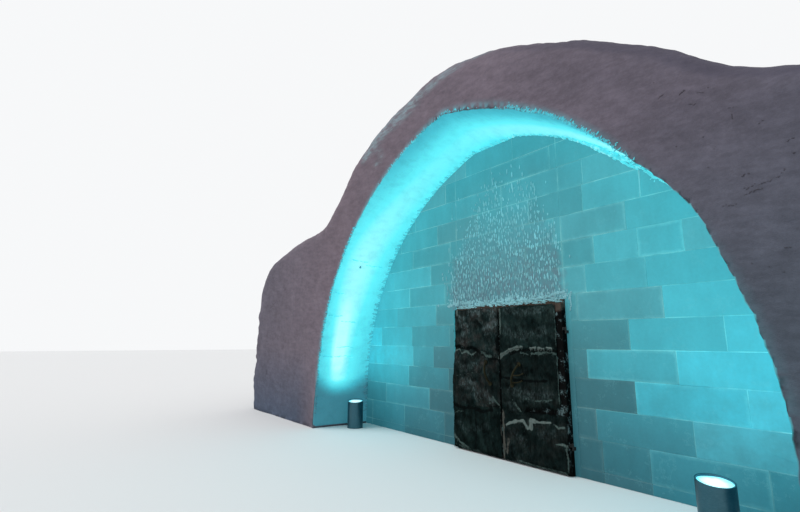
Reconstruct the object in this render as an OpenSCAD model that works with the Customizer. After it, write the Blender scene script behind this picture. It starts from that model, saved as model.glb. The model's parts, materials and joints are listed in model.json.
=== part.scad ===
// Snow and ice hall: a pointed snow vault between snow flanks, closed in front by a wall of
// ice blocks that stands back in the arch, with a pair of hide-covered doors.
// X runs across the front, Y from the front to the back, Z up. The ground is at Z = 0.

/* [Snow mass] */
// Width over both flanks
overall_w = 13900; // [13300:50:15000]
// Depth from the portal's edge to the back face
overall_d = 8000; // [7000:50:10000]
// Height of the crown
crown_h = 5840; // [5750:10:6400]
// Height at which the upright flank starts to lean in
flank_h = 2150; // [1900:10:2400]
// Height of the flank's rounded upper corner
corner_h = 3500; // [3300:10:3700]
// Distance of that corner in from the flank's side
corner_in = 650; // [450:10:900]
// Height of the left shoulder halfway up its slope
left_shoulder_h = 3850; // [3700:10:3950]
// Height of the right shoulder halfway up its slope
right_shoulder_h = 3620; // [3550:10:3950]
// Distance of those points from the middle
shoulder_x = 5000; // [4700:10:5300]
// Height at which the hump rises out of the shoulder
hump_h = 4060; // [4000:10:4250]
// Half width of the hump there
hump_x = 3560; // [3400:10:3800]
// Radius of the snow's front edge
front_round = 340; // [150:10:450]
// Radius of the snow's back edge
back_round = 600; // [200:10:650]

/* [Arch] */
// Distance of the arch's middle to the right of the snow's middle
arch_x = 110; // [0:10:200]
// Half width of the portal arch at its front edge
portal_half_w = 3600; // [3500:10:3700]
// Height of the portal arch's point at its front edge
portal_apex_h = 4970; // [4880:10:5050]
// Half width of the arch at the ice wall and in the hall
hall_half_w = 3590; // [3450:10:3600]
// Height of the arch's point there
hall_apex_h = 4900; // [4850:10:4970]
// Height of the arch's springing, over upright jambs
spring_h = 610; // [300:10:800]
// Depth of the portal in front of the ice wall
portal_d = 1160; // [1140:10:1600]
// Thickness of the snow wall that closes the hall
end_wall_t = 1300; // [900:10:1600]

/* [Ice wall] */
// Thickness of the ice wall
ice_t = 300; // [200:10:450]
// Height of one course of ice blocks
course_h = 360; // [350:1:365]
// Height of the lowest course
first_course_h = 120; // [60:10:180]
// Number of courses over it
courses = 13; // [11:1:13]

/* [Doors] */
// Distance of the doorway's middle from the arch's middle
door_x = 90; // [-300:5:300]
// Width over both leaves
door_w = 2010; // [1800:10:2100]
// Share of that width that the left leaf takes
left_share = 0.475; // [0.45:0.005:0.55]
// Height of the leaves' upper edge
door_top = 2160; // [2000:10:2400]
// Gap between the leaves and the ground
door_lift = 20; // [10:1:60]
// Gap between the two leaves, and between the leaves and the frame
door_gap = 8; // [6:0.5:15]
// Thickness of a leaf's boards
board_t = 40; // [30:1:60]
// Thickness of the hides at their lower edge
hide_t = 36; // [24:1:50]
// How far a hide hangs over the one below
hide_lap = 70; // [40:1:120]
// Height of the upper hides' lower edge
upper_seam_z = 1490; // [1460:5:1600]
// Height of the middle hides' lower edge
lower_seam_z = 655; // [500:5:800]
// How far the right leaf's upper and middle hides stop short of its hinge edge
hide_short = 85; // [0:5:120]
// Width of a frame post across the doorway
post_w = 100; // [70:1:140]
// Depth of the frame inside the ice
frame_in = 150; // [100:1:180]
// How far the frame stands out of the ice
frame_out = 50; // [45:1:80]
// Height of the lintel
lintel_h = 140; // [100:1:180]
// How far the lintel shows over the leaves
lintel_show = 50; // [40:1:90]

/* [Hinges and handles] */
// Radius of a hinge pin
pin_r = 8; // [6:0.5:9]
// Wall round a hinge pin
eye_wall = 5; // [4:0.5:6]
// Play between a pin and its eye
pin_play = 0.4; // [0.3:0.1:0.6]
// Height of a hinge eye
eye_h = 40; // [30:1:60]
// Heights of the two hinges
low_hinge_z = 350; // [200:10:600]
// Height of the upper hinge
high_hinge_z = 1800; // [1500:10:1850]
// Height of the handles' middle
handle_z = 1190; // [1000:10:1250]
// Length of a handle between its fixings
handle_len = 320; // [280:5:360]
// How far a handle stands out
handle_out = 80; // [60:1:110]
// Radius of the antler beam
antler_r = 15; // [10:0.5:16]
// Distance of the left handle from the meeting edge
left_handle_in = 205; // [150:5:300]
// Distance of the right handle from the meeting edge
right_handle_in = 295; // [200:5:350]
// Lean of the left handle towards its hinge edge in degrees
left_handle_lean = 14; // [0:1:30]
// Lean of the right handle towards its hinge edge in degrees
right_handle_lean = 24; // [0:1:30]

/* [Lamps] */
// Radius of a lamp housing
lamp_r = 150; // [120:1:170]
// Height of a lamp at its middle
lamp_h = 500; // [400:5:600]
// Slope of the lamp's cut-off top in degrees
lamp_slope = 8; // [0:1:20]
// Side to which the top falls, in degrees from the front towards the right
lamp_turn = 45; // [-180:5:180]
// Wall of the lamp housing
lamp_wall = 12; // [6:1:20]
// Depth of the lens below the rim
lens_drop = 14; // [6:1:60]
// Thickness of the lens
lens_t = 12; // [8:1:20]
// Left lamp: distance to the left of the arch's middle
left_lamp_x = 3310; // [2900:10:3350]
// Left lamp: distance in front of the ice
left_lamp_y = 460; // [300:10:900]
// Right lamp: distance to the right of the arch's middle
right_lamp_x = 2920; // [2800:10:3200]
// Right lamp: distance in front of the ice
right_lamp_y = 830; // [400:10:950]

/* [Hidden] */
$fn = 48;

snow_colour = "#cfc6d0";
ice_colour = "#6fc4cc";
timber_colour = "#6b4a35";
board_colour = "#3f3029";
hide_colour = "#2c2420";
antler_colour = "#a58c6c";
iron_colour = "#4a4745";
steel_colour = "#7d878b";
lens_colour = "#c8fbff";

// Gap left where one piece seats on another
seat = 0.3;
// Small overrun of a cut past a face
over = 1;

// Planes along Y
front_y = -overall_d / 2;
back_y = overall_d / 2;
ice_y = front_y + portal_d;
ice_back_y = ice_y + ice_t;
end_y = back_y - end_wall_t;

// Outline of the snow on one side of the arch's middle, from the ground up to the crown.
// Side is 1 on the right and -1 on the left, and X is the distance out from that middle.
side_x = overall_w / 2;
flank_lean = 130;
lean_h = (flank_h + corner_h) / 2 + flank_lean;
// Two points on the hump, as shares of its half width and of its rise
hump_low = [0.70, 0.51];
hump_high = [0.40, 0.83];
function hump_point(share) = [hump_x * share[0], hump_h + (crown_h - hump_h) * share[1]];
function snow_knots(side) = [
    for (p = [
        [side_x, 0],
        [side_x, flank_h],
        [side_x - flank_lean, lean_h],
        [side_x - corner_in, corner_h],
        [shoulder_x, side > 0 ? right_shoulder_h : left_shoulder_h],
        [hump_x, hump_h],
        hump_point(hump_low),
        hump_point(hump_high),
        [side * arch_x, crown_h]])
    [p[0] - side * arch_x, p[1]]];
right_knots = snow_knots(1);
left_knots = snow_knots(-1);
last_knot = len(right_knots) - 1;
span_steps = 6;

// The knots at which the snow is divided, as points of the outline
pier_to = 2 * span_steps;
shoulder_to = 5 * span_steps;
haunch_to = 7 * span_steps;
crown_to = last_knot * span_steps;

function mirrored(p) = [-p[0], p[1]];
function knot(side, k) =
    let (own = side > 0 ? right_knots : left_knots, other = side > 0 ? left_knots : right_knots)
    k < 0 ? 2 * own[0] - own[1] : k > last_knot ? mirrored(other[last_knot - 1]) : own[k];

// Smooth curve through the knots
function curve(a, b, c, d, t) =
    0.5 * (2 * b + (c - a) * t + (2 * a - 5 * b + 4 * c - d) * t * t
        + (3 * b - a - 3 * c + d) * t * t * t);
function outline_point(side, j) =
    let (k = min(floor(j / span_steps), last_knot - 1), t = j / span_steps - k,
        p = curve(knot(side, k - 1), knot(side, k), knot(side, k + 1), knot(side, k + 2), t))
    [min(p[0], side_x - side * arch_x), p[1]];
right_outline = [for (j = [0:crown_to]) outline_point(1, j)];
left_outline = [for (j = [0:crown_to]) outline_point(-1, j)];
function outline_at(side, j) = side > 0 ? right_outline[j] : left_outline[j];

// The arch is two arcs whose centres lie past the middle, at springing height.
// Given its half width and rise, this is how far past the middle they lie.
function arc_offset(half_w, rise) = (rise * rise - half_w * half_w) / (2 * half_w);

// Distance along a ray of the given slope, from the ground in the arch's middle to the
// upright jamb or to the arc over it
function arch_reach(angle, half_w, apex_h) =
    half_w * tan(angle) <= spring_h ? half_w / cos(angle) :
    let (rise = apex_h - spring_h, c = arc_offset(half_w, rise), r = half_w + c,
        b = c * cos(angle) - spring_h * sin(angle))
    sqrt(b * b + r * r - c * c - spring_h * spring_h) - b;

// The arch narrows from the portal's edge to the ice wall and then stays the same
function narrowing(y) = min(1, (y - front_y) / portal_d);
function arch_at(angle, y) =
    let (s = narrowing(y))
    arch_reach(angle, portal_half_w + (hall_half_w - portal_half_w) * s,
        portal_apex_h + (hall_apex_h - portal_apex_h) * s);

// How far the snow's rounded edges pull the outline in at a given depth
function quarter_drop(into, radius) =
    into >= radius ? 0 : radius - sqrt(radius * radius - pow(radius - into, 2));
function edge_drop(y) = quarter_drop(y - front_y, front_round) + quarter_drop(back_y - y, back_round);

round_steps = 5;
function round_depths(radius) = [for (i = [0:round_steps]) radius * (1 - cos(90 * i / round_steps))];
portal_stations = concat([for (d = round_depths(front_round)) front_y + d], [ice_y, ice_back_y]);
vault_stations = concat([ice_back_y],
    [for (i = [round_steps:-1:0]) back_y - round_depths(back_round)[i]]);

function polar(angle, reach, y) = [reach * cos(angle), y, reach * sin(angle)];
function outer_point(side, j, y) =
    let (p = outline_at(side, j), angle = atan2(p[1], p[0]))
    polar(angle, norm(p) - edge_drop(y), y);
function inner_point(side, j, y) =
    let (p = outline_at(side, j), angle = atan2(p[1], p[0]))
    polar(angle, arch_at(angle, y), y);

module on_side(side) {
    translate([arch_x, 0, 0])
        if (side > 0) children();
        else mirror([1, 0, 0]) children();
}

// One stretch of the snow between two rays from the ground in the arch's middle, lofted
// through the stations along Y. Even points are the outer skin and odd points the soffit.
module snow_stretch(side, from, to, stations) {
    rows = len(stations);
    cols = to - from + 1;
    function at(i, j, skin) = (i * cols + j) * 2 + skin;
    points = [for (y = stations) for (j = [from:to]) for (skin = [0, 1])
        skin == 0 ? outer_point(side, j, y) : inner_point(side, j, y)];
    skins = [for (i = [0:rows - 2]) for (j = [0:cols - 2]) for (f = [
        [at(i, j, 0), at(i, j + 1, 0), at(i + 1, j + 1, 0)],
        [at(i, j, 0), at(i + 1, j + 1, 0), at(i + 1, j, 0)],
        [at(i, j, 1), at(i + 1, j, 1), at(i + 1, j + 1, 1)],
        [at(i, j, 1), at(i + 1, j + 1, 1), at(i, j + 1, 1)]]) f];
    ends = [for (j = [0:cols - 2]) for (f = [
        [at(0, j, 1), at(0, j + 1, 1), at(0, j + 1, 0), at(0, j, 0)],
        [at(rows - 1, j, 1), at(rows - 1, j, 0), at(rows - 1, j + 1, 0), at(rows - 1, j + 1, 1)]]) f];
    beds = [for (i = [0:rows - 2]) for (f = [
        [at(i, 0, 1), at(i, 0, 0), at(i + 1, 0, 0), at(i + 1, 0, 1)],
        [at(i, cols - 1, 1), at(i + 1, cols - 1, 1), at(i + 1, cols - 1, 0), at(i, cols - 1, 0)]]) f];
    color(snow_colour) on_side(side)
        polyhedron(points = points, faces = concat(skins, ends, beds), convexity = 4);
}

module portal_pier_right() { snow_stretch(1, 0, pier_to, portal_stations); }
module portal_shoulder_right() { snow_stretch(1, pier_to, shoulder_to, portal_stations); }
module portal_haunch_right() { snow_stretch(1, shoulder_to, haunch_to, portal_stations); }
module portal_crown_right() { snow_stretch(1, haunch_to, crown_to, portal_stations); }
module portal_pier_left() { snow_stretch(-1, 0, pier_to, portal_stations); }
module portal_shoulder_left() { snow_stretch(-1, pier_to, shoulder_to, portal_stations); }
module portal_haunch_left() { snow_stretch(-1, shoulder_to, haunch_to, portal_stations); }
module portal_crown_left() { snow_stretch(-1, haunch_to, crown_to, portal_stations); }

module vault_pier_right() { snow_stretch(1, 0, pier_to, vault_stations); }
module vault_shoulder_right() { snow_stretch(1, pier_to, shoulder_to, vault_stations); }
module vault_haunch_right() { snow_stretch(1, shoulder_to, haunch_to, vault_stations); }
module vault_crown_right() { snow_stretch(1, haunch_to, crown_to, vault_stations); }
module vault_pier_left() { snow_stretch(-1, 0, pier_to, vault_stations); }
module vault_shoulder_left() { snow_stretch(-1, pier_to, shoulder_to, vault_stations); }
module vault_haunch_left() { snow_stretch(-1, shoulder_to, haunch_to, vault_stations); }
module vault_crown_left() { snow_stretch(-1, haunch_to, crown_to, vault_stations); }

// Section of a wall that fills the arch of the hall, seated just inside its soffit
function fill_point(side, j) =
    let (p = inner_point(side, j, ice_y), flat = [p[0], p[2]])
    flat * (1 - seat / norm(flat));
module hall_section() {
    translate([arch_x, 0]) polygon(concat(
        [for (j = [0:crown_to]) fill_point(1, j)],
        [for (j = [crown_to - 1:-1:0]) mirrored(fill_point(-1, j))]));
}

module upright_slab(from_y, to_y) {
    translate([0, to_y, 0]) rotate([90, 0, 0]) linear_extrude(to_y - from_y) children();
}

module end_wall() { color(snow_colour) upright_slab(end_y, back_y) hall_section(); }

// Doorway planes
door_left = arch_x + door_x - door_w / 2;
door_right = door_left + door_w;
lintel_top = door_top + lintel_show;
lintel_foot = lintel_top - lintel_h;
ice_top = first_course_h + courses * course_h;

module ice_part(from_x, to_x, from_z, to_z) {
    color(ice_colour) upright_slab(ice_y, ice_back_y) intersection() {
        hall_section();
        translate([from_x, from_z]) square([to_x - from_x, to_z - from_z]);
    }
}
module ice_wall_left() { ice_part(-side_x, door_left, 0, ice_top); }
module ice_wall_right() { ice_part(door_right, side_x, 0, ice_top); }
module ice_wall_over_door() { ice_part(door_left, door_right, lintel_top, ice_top); }

// Timber frame, let into the ice
frame_y = ice_y - frame_out;
frame_d = frame_out + frame_in;
module door_post_left() {
    color(timber_colour) translate([door_left, frame_y, 0]) cube([post_w, frame_d, lintel_foot]);
}
module door_post_right() {
    color(timber_colour) translate([door_right - post_w, frame_y, 0]) cube([post_w, frame_d, lintel_foot]);
}
module door_lintel() {
    color(timber_colour) translate([door_left, frame_y, lintel_foot]) cube([door_w, frame_d, lintel_h]);
}

// A leaf hangs in front of the frame. Its width runs from the hinge edge to the meeting edge.
leaf_back_y = frame_y - door_gap;
board_front_y = leaf_back_y - board_t;
leaf_front_y = board_front_y - hide_t;
meeting_x = door_left + door_w * left_share;
left_leaf_w = meeting_x - door_gap / 2 - door_left;
right_leaf_w = door_right - meeting_x - door_gap / 2;
leaf_h = door_top - door_lift;

module leaf_boards(w) {
    translate([0, board_front_y, door_lift]) cube([w, board_t, leaf_h]);
}

// Three rows of hide. Each thins towards its head, over which the row above hangs.
hide_feet = [door_lift, lower_seam_z + hide_lap, upper_seam_z + hide_lap, door_top];
// Height over which a hide thins
hide_taper = 40;
// Share of the hides' thickness that is left where the row above covers them
hide_thin_share = 0.4;
hide_thin = hide_t * hide_thin_share;
module hide(w, row, short = 0) {
    foot = hide_feet[row];
    flap = row == 0 ? 0 : hide_lap;
    head = hide_feet[row + 1];
    translate([short, board_front_y - seat, 0]) rotate([90, 0, 90]) linear_extrude(w - short) polygon([
        [0, foot],
        [-hide_thin - seat, foot],
        [-hide_thin - seat, foot - flap],
        [seat - hide_t, foot - flap],
        [seat - hide_t, head - hide_lap - hide_taper],
        [-hide_thin, head - hide_lap - seat],
        [-hide_thin, head - seat],
        [0, head - seat]]);
}

// Placing pieces that are drawn from a leaf's hinge edge
module left_leaf() { translate([door_left, 0, 0]) children(); }
module right_leaf() { translate([door_right, 0, 0]) mirror([1, 0, 0]) children(); }

module left_leaf_boards() { color(board_colour) left_leaf() leaf_boards(left_leaf_w); }
module left_upper_hide() { color(hide_colour) left_leaf() hide(left_leaf_w, 2); }
module left_middle_hide() { color(hide_colour) left_leaf() hide(left_leaf_w, 1); }
module left_lower_hide() { color(hide_colour) left_leaf() hide(left_leaf_w, 0); }
module right_leaf_boards() { color(board_colour) right_leaf() leaf_boards(right_leaf_w); }
module right_upper_hide() { color(hide_colour) right_leaf() hide(right_leaf_w, 2, hide_short); }
module right_middle_hide() { color(hide_colour) right_leaf() hide(right_leaf_w, 1, hide_short); }
module right_lower_hide() { color(hide_colour) right_leaf() hide(right_leaf_w, 0); }

// The hinge line stands beside the leaf's edge, halfway across the gap behind the leaf
eye_r = pin_r + pin_play + eye_wall;
hinge_x = -eye_r - door_gap / 2 - over;
hinge_y = frame_y - door_gap / 2;
hinge_levels = [low_hinge_z, high_hinge_z];

// An eye and the angle that fixes it to the leaf's edge
edge_plate_t = 7;
module hinge_eyes() {
    for (z = hinge_levels) translate([0, 0, z]) difference() {
        union() {
            translate([hinge_x, hinge_y, 0]) cylinder(h = eye_h, r = eye_r);
            translate([hinge_x, leaf_back_y - 2 * eye_r, 0]) cube([-hinge_x - seat, 2 * eye_r, eye_h]);
            translate([-edge_plate_t - seat, board_front_y, 0]) cube([edge_plate_t, board_t, eye_h]);
        }
        translate([hinge_x, hinge_y, -over]) cylinder(h = eye_h + 2 * over, r = pin_r + pin_play);
    }
}

// A pin on a boss, with the arm and plate that fix it to the side of the frame post
module hinge_pins() {
    for (z = hinge_levels) translate([0, 0, z - eye_h - seat]) {
        translate([hinge_x, hinge_y, 0]) cylinder(h = eye_h, r = eye_r);
        translate([hinge_x, hinge_y, 0]) cylinder(h = 2 * eye_h + edge_plate_t, r = pin_r);
        translate([hinge_x - eye_r, hinge_y, 0]) cube([2 * eye_r, door_gap / 2 + frame_out / 2, eye_h]);
        translate([hinge_x - eye_r, frame_y + over, 0])
            cube([eye_r - hinge_x - seat, frame_out - 2 * over, eye_h]);
    }
}
module left_hinge_eyes() { color(iron_colour) left_leaf() hinge_eyes(); }
module left_hinge_pins() { color(iron_colour) left_leaf() hinge_pins(); }
module right_hinge_eyes() { color(iron_colour) right_leaf() hinge_eyes(); }
module right_hinge_pins() { color(iron_colour) right_leaf() hinge_pins(); }

// An antler beam bowed out from the leaf between two burrs
burr_r = 2 * antler_r;
burr_t = antler_r;
bow_r = (pow(handle_len / 2, 2) + pow(handle_out, 2)) / (2 * handle_out);
bow_half = asin(handle_len / 2 / bow_r);
handle_face_y = leaf_front_y - seat;
module antler_bow() {
    translate([0, handle_face_y + bow_r - handle_out, handle_z])
        rotate([0, 90, 0]) rotate([0, 0, -90 - bow_half])
            rotate_extrude(angle = 2 * bow_half) translate([bow_r, 0]) circle(antler_r);
}
// A tine that leaves the beam at a height over its middle and curves up across the leaf
tine_bend_r = 280;
tine_bend = 40;
tine_start = -76;
tine_r = 0.6 * antler_r;
module antler_tine(rise) {
    root_y = handle_face_y - handle_out + bow_r - sqrt(pow(bow_r, 2) - pow(rise, 2));
    translate([0, root_y, handle_z + rise]) rotate([0, tine_start, 0])
        translate([tine_bend_r, 0, 0]) rotate([90, 0, 0]) rotate([0, 0, 180 - tine_bend])
            rotate_extrude(angle = tine_bend) translate([tine_bend_r, 0]) circle(tine_r);
}
module antler_burrs() {
    for (side = [-1, 1]) translate([0, handle_face_y, handle_z + side * handle_len / 2])
        rotate([90, 0, 0]) cylinder(h = burr_t, r = burr_r);
}
module antler_handle(lean, tine_rises) {
    translate([0, 0, handle_z]) rotate([0, -lean, 0]) translate([0, 0, -handle_z]) {
        difference() {
            union() {
                antler_bow();
                for (rise = tine_rises) antler_tine(rise);
            }
            translate([-2 * tine_bend_r, handle_face_y, handle_z - handle_len])
                cube([4 * tine_bend_r, bow_r, 2 * handle_len]);
        }
        antler_burrs();
    }
}
lower_tine_rise = -110;
module left_antler_handle() {
    color(antler_colour) left_leaf() translate([left_leaf_w - left_handle_in, 0, 0])
        antler_handle(left_handle_lean, []);
}
module right_antler_handle() {
    color(antler_colour) right_leaf() translate([right_leaf_w - right_handle_in, 0, 0])
        antler_handle(right_handle_lean, [0, lower_tine_rise]);
}

// A steel tube cut off at a slope, with its lens set down inside the rim
module over_slope(z) {
    translate([0, 0, z]) rotate([0, 0, lamp_turn]) rotate([lamp_slope, 0, 0])
        translate([-2 * lamp_r, -2 * lamp_r, 0]) cube([4 * lamp_r, 4 * lamp_r, lamp_h]);
}
lens_foot = lamp_h - lens_drop - lens_t;
module lamp_housing() {
    difference() {
        cylinder(h = 1.5 * lamp_h, r = lamp_r);
        over_slope(lamp_h);
        intersection() {
            cylinder(h = 1.5 * lamp_h, r = lamp_r - lamp_wall);
            over_slope(lens_foot);
        }
    }
}
module lamp_lens() {
    difference() {
        intersection() {
            cylinder(h = lamp_h, r = lamp_r - lamp_wall - seat);
            over_slope(lens_foot + seat);
        }
        over_slope(lens_foot + lens_t);
    }
}
module at_left_lamp() { translate([arch_x - left_lamp_x, ice_y - left_lamp_y, 0]) children(); }
module at_right_lamp() { translate([arch_x + right_lamp_x, ice_y - right_lamp_y, 0]) children(); }
module left_lamp_housing() { color(steel_colour) at_left_lamp() lamp_housing(); }
module left_lamp_lens() { color(lens_colour) at_left_lamp() lamp_lens(); }
module right_lamp_housing() { color(steel_colour) at_right_lamp() lamp_housing(); }
module right_lamp_lens() { color(lens_colour) at_right_lamp() lamp_lens(); }

portal_pier_left();
portal_shoulder_left();
portal_haunch_left();
portal_crown_left();
portal_crown_right();
portal_haunch_right();
portal_shoulder_right();
portal_pier_right();
vault_pier_left();
vault_shoulder_left();
vault_haunch_left();
vault_crown_left();
vault_crown_right();
vault_haunch_right();
vault_shoulder_right();
vault_pier_right();
end_wall();
ice_wall_left();
ice_wall_right();
ice_wall_over_door();
door_post_left();
door_post_right();
door_lintel();
left_leaf_boards();
left_upper_hide();
left_middle_hide();
left_lower_hide();
left_antler_handle();
left_hinge_eyes();
left_hinge_pins();
right_leaf_boards();
right_upper_hide();
right_middle_hide();
right_lower_hide();
right_antler_handle();
right_hinge_eyes();
right_hinge_pins();
left_lamp_housing();
left_lamp_lens();
right_lamp_housing();
right_lamp_lens();
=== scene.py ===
import bpy
import bmesh
import json
import math
import random
from mathutils import Euler, Matrix, Vector, noise
from mathutils.bvhtree import BVHTree
from mathutils.kdtree import KDTree


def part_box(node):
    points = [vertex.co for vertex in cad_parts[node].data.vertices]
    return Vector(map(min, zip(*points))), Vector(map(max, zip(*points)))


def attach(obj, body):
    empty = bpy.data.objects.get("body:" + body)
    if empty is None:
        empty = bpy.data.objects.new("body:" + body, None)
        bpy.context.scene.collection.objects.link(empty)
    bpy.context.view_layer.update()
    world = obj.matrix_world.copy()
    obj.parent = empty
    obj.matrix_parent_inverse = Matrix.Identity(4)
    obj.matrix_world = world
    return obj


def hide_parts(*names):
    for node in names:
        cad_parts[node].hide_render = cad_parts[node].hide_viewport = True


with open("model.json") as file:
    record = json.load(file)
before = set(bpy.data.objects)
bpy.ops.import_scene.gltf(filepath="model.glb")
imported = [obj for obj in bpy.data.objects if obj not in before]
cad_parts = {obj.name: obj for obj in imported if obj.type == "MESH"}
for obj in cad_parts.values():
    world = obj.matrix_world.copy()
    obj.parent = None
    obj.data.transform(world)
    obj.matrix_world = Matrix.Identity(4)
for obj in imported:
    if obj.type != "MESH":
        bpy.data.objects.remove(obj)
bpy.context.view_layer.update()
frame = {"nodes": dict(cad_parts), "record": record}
scene = bpy.context.scene
building, leftLeaf, rightLeaf = "building", "left_leaf", "right_leaf"
print("frame loaded:", len(frame["nodes"]), "nodes")

# Places that several pieces share, all read from the frame
iceLow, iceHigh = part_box("ice_wall_left")
overLow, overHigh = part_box("ice_wall_over_door")
snowFront, iceFront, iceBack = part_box("portal_pier_right")[0].y, iceLow.y, iceHigh.y
doorLeft, doorRight = overLow.x, overHigh.x
iceTop = overHigh.z
archMiddle = (iceLow.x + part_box("ice_wall_right")[1].x) / 2
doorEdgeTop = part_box("ice_wall_right")[1].z - 0.01     # above it the arch cuts the wall over the doors
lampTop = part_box("left_lamp_lens")[1].z
axisHeight = 1.5                                       # the arch's inner faces look towards this height


def smooth(value, low, high):
    t = min(1.0, max(0.0, (value - low) / (high - low)))
    return t * t * (3 - 2 * t)


def bellCurve(distance, width):
    return math.exp(-(distance / width) ** 2)


def newPiece(name, bm, body, materials, smoothShade=True):
    bm.normal_update()
    mesh = bpy.data.meshes.new(name)
    bm.to_mesh(mesh)
    bm.free()
    piece = bpy.data.objects.new(name, mesh)
    scene.collection.objects.link(piece)
    for material in materials:
        mesh.materials.append(material)
    for face in mesh.polygons:
        face.use_smooth = smoothShade
    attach(piece, body)
    return piece


def bakeModifiers(piece):
    # the evaluated mesh takes the place of the mesh and its modifiers
    graph = bpy.context.evaluated_depsgraph_get()
    made = bpy.data.meshes.new_from_object(piece.evaluated_get(graph), depsgraph=graph)
    piece.modifiers.clear()
    piece.data = made


def addLump(bm, spot, size, rng, turn=None, uneven=0.22):
    # one irregular lump of snow, frost or ice
    if turn is None:
        turn = Euler([rng.uniform(0, math.tau) for _ in range(3)]).to_matrix().to_4x4()
    place = Matrix.Translation(spot) @ turn @ Matrix.Diagonal((*size, 1))
    made = bmesh.ops.create_icosphere(bm, subdivisions=1, radius=1, matrix=place)["verts"]
    centre = Vector(spot)
    for vert in made:
        vert.co = centre + (vert.co - centre) * rng.uniform(1 - uneven, 1 + uneven)
    return made


def addBox(bm, low, high):
    made = bmesh.ops.create_cube(bm, size=1)["verts"]
    bmesh.ops.scale(bm, verts=made, vec=[b - a for a, b in zip(low, high)])
    bmesh.ops.translate(bm, verts=made, vec=[(a + b) / 2 for a, b in zip(low, high)])
    return made


def towardsAxis(point):
    # the way from a point to the arch's axis
    return Vector((archMiddle - point.x, 0, axisHeight - point.z)).normalized()


def lumpTurn(along, inward, slant):
    # how a lump lies that stands on the arch's edge
    return Matrix((along, Vector((0, 1, 0)), inward)).transposed().to_4x4() @ slant


# Camera, light and stage
cameraSetup = {
    "focalPixels": 453.6,      # focal length in pixels of an 800 pixel wide frame
    "frameWidth": 800,
    "yaw": -52.06,             # degrees to the right of +Y
    "pitch": 10.60,
    "roll": 0.22,
    "beside": 4.64,            # metres to the right of the middle of the snow
    "before": 5.48,            # metres in front of the ice wall
    "eyeHeight": 1.654,
    "sensorWidth": 36,
    "clipEnd": 500,
}


def makeCamera(setup):
    yaw, pitch, roll = (math.radians(setup[key]) for key in ("yaw", "pitch", "roll"))
    ahead = Vector((math.sin(yaw) * math.cos(pitch), math.cos(yaw) * math.cos(pitch), math.sin(pitch)))
    level = Vector((math.cos(yaw), -math.sin(yaw), 0))
    upward = level.cross(ahead)
    across = math.cos(roll) * level + math.sin(roll) * upward
    upward = -math.sin(roll) * level + math.cos(roll) * upward
    data = bpy.data.cameras.new("camera")
    data.sensor_width = setup["sensorWidth"]
    data.lens = setup["sensorWidth"] * setup["focalPixels"] / setup["frameWidth"]
    data.clip_end = setup["clipEnd"]
    camera = bpy.data.objects.new("camera", data)
    scene.collection.objects.link(camera)
    turn = Matrix((across, upward, -ahead)).transposed().to_4x4()
    place = Vector((setup["beside"], iceFront - setup["before"], setup["eyeHeight"]))
    camera.matrix_world = Matrix.Translation(place) @ turn
    scene.camera = camera


studio = {
    "skyLight": 0.72,
    "backdrop": (0.93, 0.94, 0.95),
    "floor": (0.78, 0.79, 0.80),
    "sunStrength": 1.25,
    "sunSpread": 30,           # degrees, for soft shadows
    "sunHeight": 50,
    "sunAzimuth": -30,         # degrees from straight in front, to the left
    "floorSize": 160,
    "floorDrop": 0.002,        # keeps it clear of the model's own underside
}


def makeStudio(setup):
    scene.view_settings.view_transform = "Standard"
    world = bpy.data.worlds.new("studio")
    scene.world = world
    world.use_nodes = True
    nodes, links = world.node_tree.nodes, world.node_tree.links
    nodes.clear()
    out = nodes.new("ShaderNodeOutputWorld")
    mix = nodes.new("ShaderNodeMixShader")
    # the first background lights the scene, and the second is what the camera sees
    for index, (colour, strength) in enumerate((((1, 1, 1), setup["skyLight"]), (setup["backdrop"], 1)), 1):
        background = nodes.new("ShaderNodeBackground")
        background.inputs["Color"].default_value = (*colour, 1)
        background.inputs["Strength"].default_value = strength
        links.new(background.outputs[0], mix.inputs[index])
    path = nodes.new("ShaderNodeLightPath")
    seen = path.outputs["Is Camera Ray"]
    for kind in ("Is Glossy Ray", "Is Transmission Ray"):
        either = nodes.new("ShaderNodeMath")
        either.operation = "MAXIMUM"
        links.new(seen, either.inputs[0])
        links.new(path.outputs[kind], either.inputs[1])
        seen = either.outputs[0]
    links.new(seen, mix.inputs["Fac"])
    links.new(mix.outputs[0], out.inputs["Surface"])

    sunData = bpy.data.lights.new("key", "SUN")
    sunData.energy = setup["sunStrength"]
    sunData.angle = math.radians(setup["sunSpread"])
    sun = bpy.data.objects.new("key", sunData)
    azimuth, height = math.radians(setup["sunAzimuth"]), math.radians(setup["sunHeight"])
    level = Vector((math.sin(azimuth), -math.cos(azimuth), 0))
    towards = level * math.cos(height) + Vector((0, 0, math.sin(height)))
    sun.rotation_euler = towards.to_track_quat("Z", "Y").to_euler()
    scene.collection.objects.link(sun)

    bm = bmesh.new()
    bmesh.ops.create_grid(bm, x_segments=1, y_segments=1, size=setup["floorSize"] / 2)
    mesh = bpy.data.meshes.new("floor")
    bm.to_mesh(mesh)
    bm.free()
    floor = bpy.data.objects.new("floor", mesh)
    floor.location.z = -setup["floorDrop"]
    scene.collection.objects.link(floor)
    material = bpy.data.materials.new("floor")
    material.use_nodes = True
    shader = material.node_tree.nodes["Principled BSDF"]
    shader.inputs["Base Color"].default_value = (*setup["floor"], 1)
    shader.inputs["Roughness"].default_value = 0.9
    mesh.materials.append(material)


makeCamera(cameraSetup)
makeStudio(studio)
print("camera and studio made")


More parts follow.
